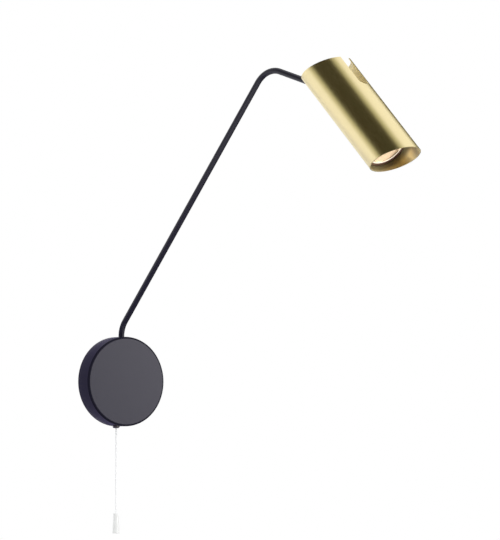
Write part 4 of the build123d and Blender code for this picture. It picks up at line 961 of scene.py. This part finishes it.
class SPOTLIGHT_OT_shade(bpy.types.Operator):
    """Slant cut, slotted brass tube"""

    bl_idname = "spotlight.shade"
    bl_label = "Shade"

    SEGMENTS = 256
    SCREW_ANGLES = (100, 190)   # degrees, of the carrier's grub screws, from the upper side
    SCREW_PLACE = 17.0 * MM
    SCREW_RADIUS = 1.3 * MM
    SCREW_DEPTH = 6 * MM        # half inside the tube's outer face and half outside

    def execute(self, context):
        sizes = context.scene.spotlight_sizes
        outer = sizes.tube_radius
        inner = outer - sizes.tube_wall
        back, front = -sizes.tube_rear, sizes.tube_front
        outline = [(outer, back), (outer, front), (inner, front), (inner, back)]
        bm = lathe(outline, self.SEGMENTS, closed=True)
        # both ends slant the same way, so the tube is slid along itself
        slide = Matrix.Identity(4)
        slide[2][0] = tan(sizes.end_slant)
        bmesh.ops.transform(bm, matrix=slide, verts=bm.verts)
        bm = carved(bm, [self.slot_cutter(sizes), *self.screw_cutters(sizes)])
        round_edges(bm, sizes.rim_round, 2, sharper_than=SHARP_CUT)
        piece("brass_shade", bm, "brass", "head", ["shade_tube"], head_frame(sizes))
        return {"FINISHED"}

    def slot_cutter(self, sizes):
        """A long round ended prism across the tube."""
        bm = bmesh.new()
        width = sizes.slot_width / 2
        facing = (cos(sizes.slot_turn), -sin(sizes.slot_turn), 0)
        across = placed((0, 0, sizes.slot_reach - width), (0, 0, 1), facing)
        bmesh.ops.create_cone(
            bm, cap_ends=True, segments=64, radius1=width, radius2=width, depth=4 * sizes.tube_radius,
            matrix=across,
        )
        rear = [v for v in bm.verts if v.co.z < sizes.slot_reach - width - TINY]
        bmesh.ops.translate(bm, vec=(0, 0, -2 * sizes.tube_rear), verts=rear)
        return bm

    def screw_cutters(self, sizes):
        """Round holes for the screws that hold the carrier."""
        cutters = []
        for degrees in self.SCREW_ANGLES:
            outward = Vector((cos(radians(degrees)), -sin(radians(degrees)), 0))
            start = outward * (sizes.tube_radius - self.SCREW_DEPTH / 2)
            matrix = placed(start + Vector((0, 0, self.SCREW_PLACE)), (0, 0, 1), outward)
            cutters.append(drill(self.SCREW_RADIUS, self.SCREW_DEPTH, matrix, 32))
        return cutters


class SPOTLIGHT_OT_lamp(bpy.types.Operator):
    """Reflector lamp: enamelled shell and pressed front glass"""

    bl_idname = "spotlight.lamp"
    bl_label = "Lamp"

    STEPS = 128
    LEDGE = 1.5 * MM            # that the glass rests on
    GLASS_GAP = 0.05 * MM       # round the glass
    RIM_ROUND = 2.4 * MM
    LIP_ROUND = 0.3 * MM
    EDGE_DROP = 0.5 * MM        # of the glass's flat edge below its middle
    GROOVE_AT = 2.8 * MM        # in from the glass's rim
    GROOVE_DROP = 1.0 * MM
    SHOULDER_DROP = 0.3 * MM    # half way out from the middle
    GLASS_ROUND = 0.25 * MM

    def execute(self, context):
        sizes = context.scene.spotlight_sizes
        back, front = sizes.lamp_at, sizes.lamp_at + sizes.lamp_length
        base, wall, lens = sizes.lamp_base_radius, sizes.lamp_wall, sizes.lens_radius
        glass_front = front - sizes.lens_recess
        glass_back = glass_front - sizes.lens_thickness
        bm = lathe(
            [(0, back), (base, back), (base, back + sizes.lamp_base_length),
             (sizes.lamp_radius, front - sizes.lamp_rim_length), (sizes.lamp_radius, front),
             (lens + self.GLASS_GAP, front), (lens + self.GLASS_GAP, glass_back),
             (lens - self.LEDGE, glass_back), (base - wall, back + sizes.lamp_base_length),
             (base - wall, back + wall), (0, back + wall)],
            self.STEPS,
        )
        rim = lens + MM
        round_edges(bm, self.RIM_ROUND, 8, where=lambda co: co.z > front - TOUCH and co.xy.length > rim)
        round_edges(bm, self.LIP_ROUND, 3, where=lambda co: co.z > front - TOUCH)
        piece("lamp_shell", bm, "lamp_shell", "head", ["lamp_body"], head_frame(sizes))

        edge_front = glass_front - self.EDGE_DROP
        bm = lathe(
            [(0, glass_back), (lens, glass_back), (lens, edge_front), (lens - GLASS_EDGE, edge_front),
             (lens - self.GROOVE_AT, glass_front - self.GROOVE_DROP),
             (lens * 0.5, glass_front - self.SHOULDER_DROP), (0, glass_front)],
            self.STEPS,
        )
        round_edges(bm, self.GLASS_ROUND)
        piece("front_glass", bm, "lens_glass", "head", ["lamp_lens"], head_frame(sizes))
        return {"FINISHED"}


class SPOTLIGHT_OT_pull(bpy.types.Operator):
    """Outlet under the cup, pull cord, its moulded pull and the knot inside it"""

    bl_idname = "spotlight.pull"
    bl_label = "Pull cord"

    LEAD = 6                    # cord diameters from each end to the next point of the route
    STEPS = 64
    OUTLET_HOLE = 1.3 * MM
    OUTLET_ROOF = 0.8 * MM
    DOME_ROUND = 2.05 * MM
    HOLE_ROUND = 0.2 * MM
    BOB_TOP = 2.8 * MM          # radius of the pull's top
    BOB_WALL = 0.9 * MM
    BOB_ROOF = 5 * MM
    BOB_GAP = 0.3 * MM          # round the cord
    BOB_TOP_ROUND = 0.7 * MM
    BOB_ROUND = 0.25 * MM
    KNOT_LEAN = 24              # degrees, of each turn of the knot, either way

    def execute(self, context):
        diameter = CORD_HIGH.x - CORD_LOW.x
        self.add_outlet(context.scene.spotlight_sizes.nipple_radius)
        bob = self.add_bob(diameter)
        knot = self.add_knot(diameter)
        top, bottom = CORD_HIGH.z, CORD_LOW.z
        lead = self.LEAD * diameter
        data = bpy.data.curves.new("pull_line", "CURVE")
        data.dimensions = "3D"
        data.bevel_depth = diameter / 2
        data.bevel_resolution = 5
        data.use_fill_caps = True
        spline = data.splines.new("NURBS")
        route = [top, top - lead, bottom + lead, bottom]
        spline.points.add(len(route) - 1)
        for point, z in zip(spline.points, route):
            point.co = (CORD_AXIS.x, CORD_AXIS.y, z, 1)
        spline.order_u = 3
        spline.use_endpoint_u = True
        spline.resolution_u = 16
        data.materials.append(finish("white_cord"))
        cord = bpy.data.objects.new("pull_line", data)
        context.scene.collection.objects.link(cord)
        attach(cord, "pull")
        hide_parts("pull_cord")
        return {"FINISHED"}

    def add_outlet(self, bore):
        """A low domed nut that closes over the nipple, with a hole for the cord."""
        radius = (OUTLET_HIGH.x - OUTLET_LOW.x) / 2
        top, bottom = OUTLET_HIGH.z, OUTLET_LOW.z
        hole, roof = self.OUTLET_HOLE, bottom + self.OUTLET_ROOF
        outline = [
            (bore, top), (radius, top), (radius, bottom), (hole, bottom), (hole, roof), (bore, roof)
        ]
        bm = lathe(outline, self.STEPS, closed=True)
        round_edges(bm, self.DOME_ROUND, 10, where=lambda co: co.z < roof and co.xy.length > bore)
        round_edges(bm, self.HOLE_ROUND, 2, where=lambda co: co.z < roof and co.xy.length < 2 * hole)
        piece("outlet_dome", bm, "outlet_black", "base", ["outlet_nut"], CORD_FRAME)

    def add_bob(self, diameter):
        """A hollow tapered pull, rounded at the top."""
        low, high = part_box("cord_pull")
        top, bottom = high.z, low.z
        wide, narrow, wall = (high.x - low.x) / 2, self.BOB_TOP, self.BOB_WALL
        bore = diameter / 2 + self.BOB_GAP
        under = top - self.BOB_ROOF
        inner = narrow + (wide - narrow) * self.BOB_ROOF / (top - bottom) - wall
        outline = [
            (bore, top), (narrow, top), (wide, bottom), (wide - wall, bottom), (inner, under),
            (bore, under),
        ]
        bm = lathe(outline, self.STEPS, closed=True)
        outside = (bore + narrow) / 2
        round_edges(
            bm, self.BOB_TOP_ROUND, 4, where=lambda co: co.z > top - TOUCH and co.xy.length > outside
        )
        round_edges(bm, self.BOB_ROUND)
        return piece("pull_bob", bm, "white_pull", "pull", ["cord_pull"], CORD_FRAME)

    def add_knot(self, diameter):
        """The overhand knot that the pull rests on: two crossed turns of the cord."""
        low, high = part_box("cord_knot")
        centre = (low + high) / 2
        radius = (high.x - low.x) / 2 - diameter / 2
        bm = bmesh.new()
        ring = bmesh.ops.create_circle(
            bm, segments=14, radius=diameter / 2,
            matrix=Matrix.Translation((radius, 0, 0)) @ Matrix.Rotation(pi / 2, 4, "X"),
        )["verts"]
        bmesh.ops.spin(
            bm, geom=[*ring, *ring_edges(ring)], cent=(0, 0, 0), axis=(0, 0, 1), angle=tau, steps=32,
            use_merge=True,
        )
        first = list(bm.verts)
        copy = bmesh.ops.duplicate(bm, geom=[*bm.verts, *bm.edges, *bm.faces])["geom"]
        for verts, lean in ((first, -self.KNOT_LEAN), (only_verts(copy), self.KNOT_LEAN)):
            turn = Matrix.Rotation(radians(lean), 3, "Y")
            bmesh.ops.rotate(bm, cent=(0, 0, 0), matrix=turn, verts=verts)
        merge(bm)
        return piece("pull_knot", bm, "white_cord", "pull", ["cord_knot"], Matrix.Translation(centre))


class SPOTLIGHT_OT_spring(bpy.types.Operator):
    """Coil spring under the switch's plunger"""

    bl_idname = "spotlight.spring"
    bl_label = "Return spring"

    WIRE = 0.45 * MM            # radius
    TURNS = 7
    STEPS = 24                  # for each turn

    def execute(self, context):
        low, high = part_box("return_spring")
        outer = (high.x - low.x) / 2
        height = high.z - low.z - 2 * self.WIRE
        centre = Vector((CORD_AXIS.x, CORD_AXIS.y, 0))
        bm = bmesh.new()
        start = centre + Vector((outer - self.WIRE, 0, low.z + self.WIRE))
        bmesh.ops.create_circle(
            bm, segments=12, radius=self.WIRE, cap_ends=True,
            matrix=Matrix.Translation(start) @ Matrix.Rotation(pi / 2, 4, "X"),
        )
        steps = self.TURNS * self.STEPS
        bmesh.ops.spin(
            bm, geom=[*bm.verts, *bm.edges, *bm.faces], cent=centre, axis=(0, 0, 1),
            dvec=(0, 0, height / steps), angle=tau * self.TURNS, steps=steps,
        )
        merge(bm)
        coil = piece("return_coil", bm, "zinc_steel", "base", ["return_spring"], flat_faces=False)
        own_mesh(coil)
        return {"FINISHED"}


OPERATORS = (
    SPOTLIGHT_OT_stage,
    SPOTLIGHT_OT_carried,
    SPOTLIGHT_OT_fittings,
    SPOTLIGHT_OT_cup,
    SPOTLIGHT_OT_arm,
    SPOTLIGHT_OT_shade,
    SPOTLIGHT_OT_lamp,
    SPOTLIGHT_OT_pull,
    SPOTLIGHT_OT_spring,
)


class SPOTLIGHT_PT_panel(bpy.types.Panel):
    """Sidebar panel with the spotlight's sizes, colours and pieces"""

    bl_idname = "SPOTLIGHT_PT_panel"
    bl_label = "Wall Spotlight"
    bl_space_type = "VIEW_3D"
    bl_region_type = "UI"
    bl_category = "Spotlight"

    def draw(self, context):
        for operator in OPERATORS:
            self.layout.operator(operator.bl_idname)
        for group in (context.scene.spotlight_sizes, context.scene.spotlight_colours):
            column = self.layout.column(align=True)
            for name in group.__annotations__:
                column.prop(group, name)


CLASSES = (SpotlightSizes, SpotlightColours, *OPERATORS, SPOTLIGHT_PT_panel)


def register():
    for cls in CLASSES:
        bpy.utils.register_class(cls)
    bpy.types.Scene.spotlight_sizes = bpy.props.PointerProperty(type=SpotlightSizes)
    bpy.types.Scene.spotlight_colours = bpy.props.PointerProperty(type=SpotlightColours)


def unregister():
    del bpy.types.Scene.spotlight_colours
    del bpy.types.Scene.spotlight_sizes
    for cls in reversed(CLASSES):
        bpy.utils.unregister_class(cls)


def main():
    register()
    bpy.ops.spotlight.stage()
    bpy.ops.spotlight.carried()
    bpy.ops.spotlight.fittings()
    bpy.ops.spotlight.cup()
    bpy.ops.spotlight.arm()
    bpy.ops.spotlight.shade()
    bpy.ops.spotlight.lamp()
    bpy.ops.spotlight.pull()
    bpy.ops.spotlight.spring()


if __name__ == "__main__":
    main()
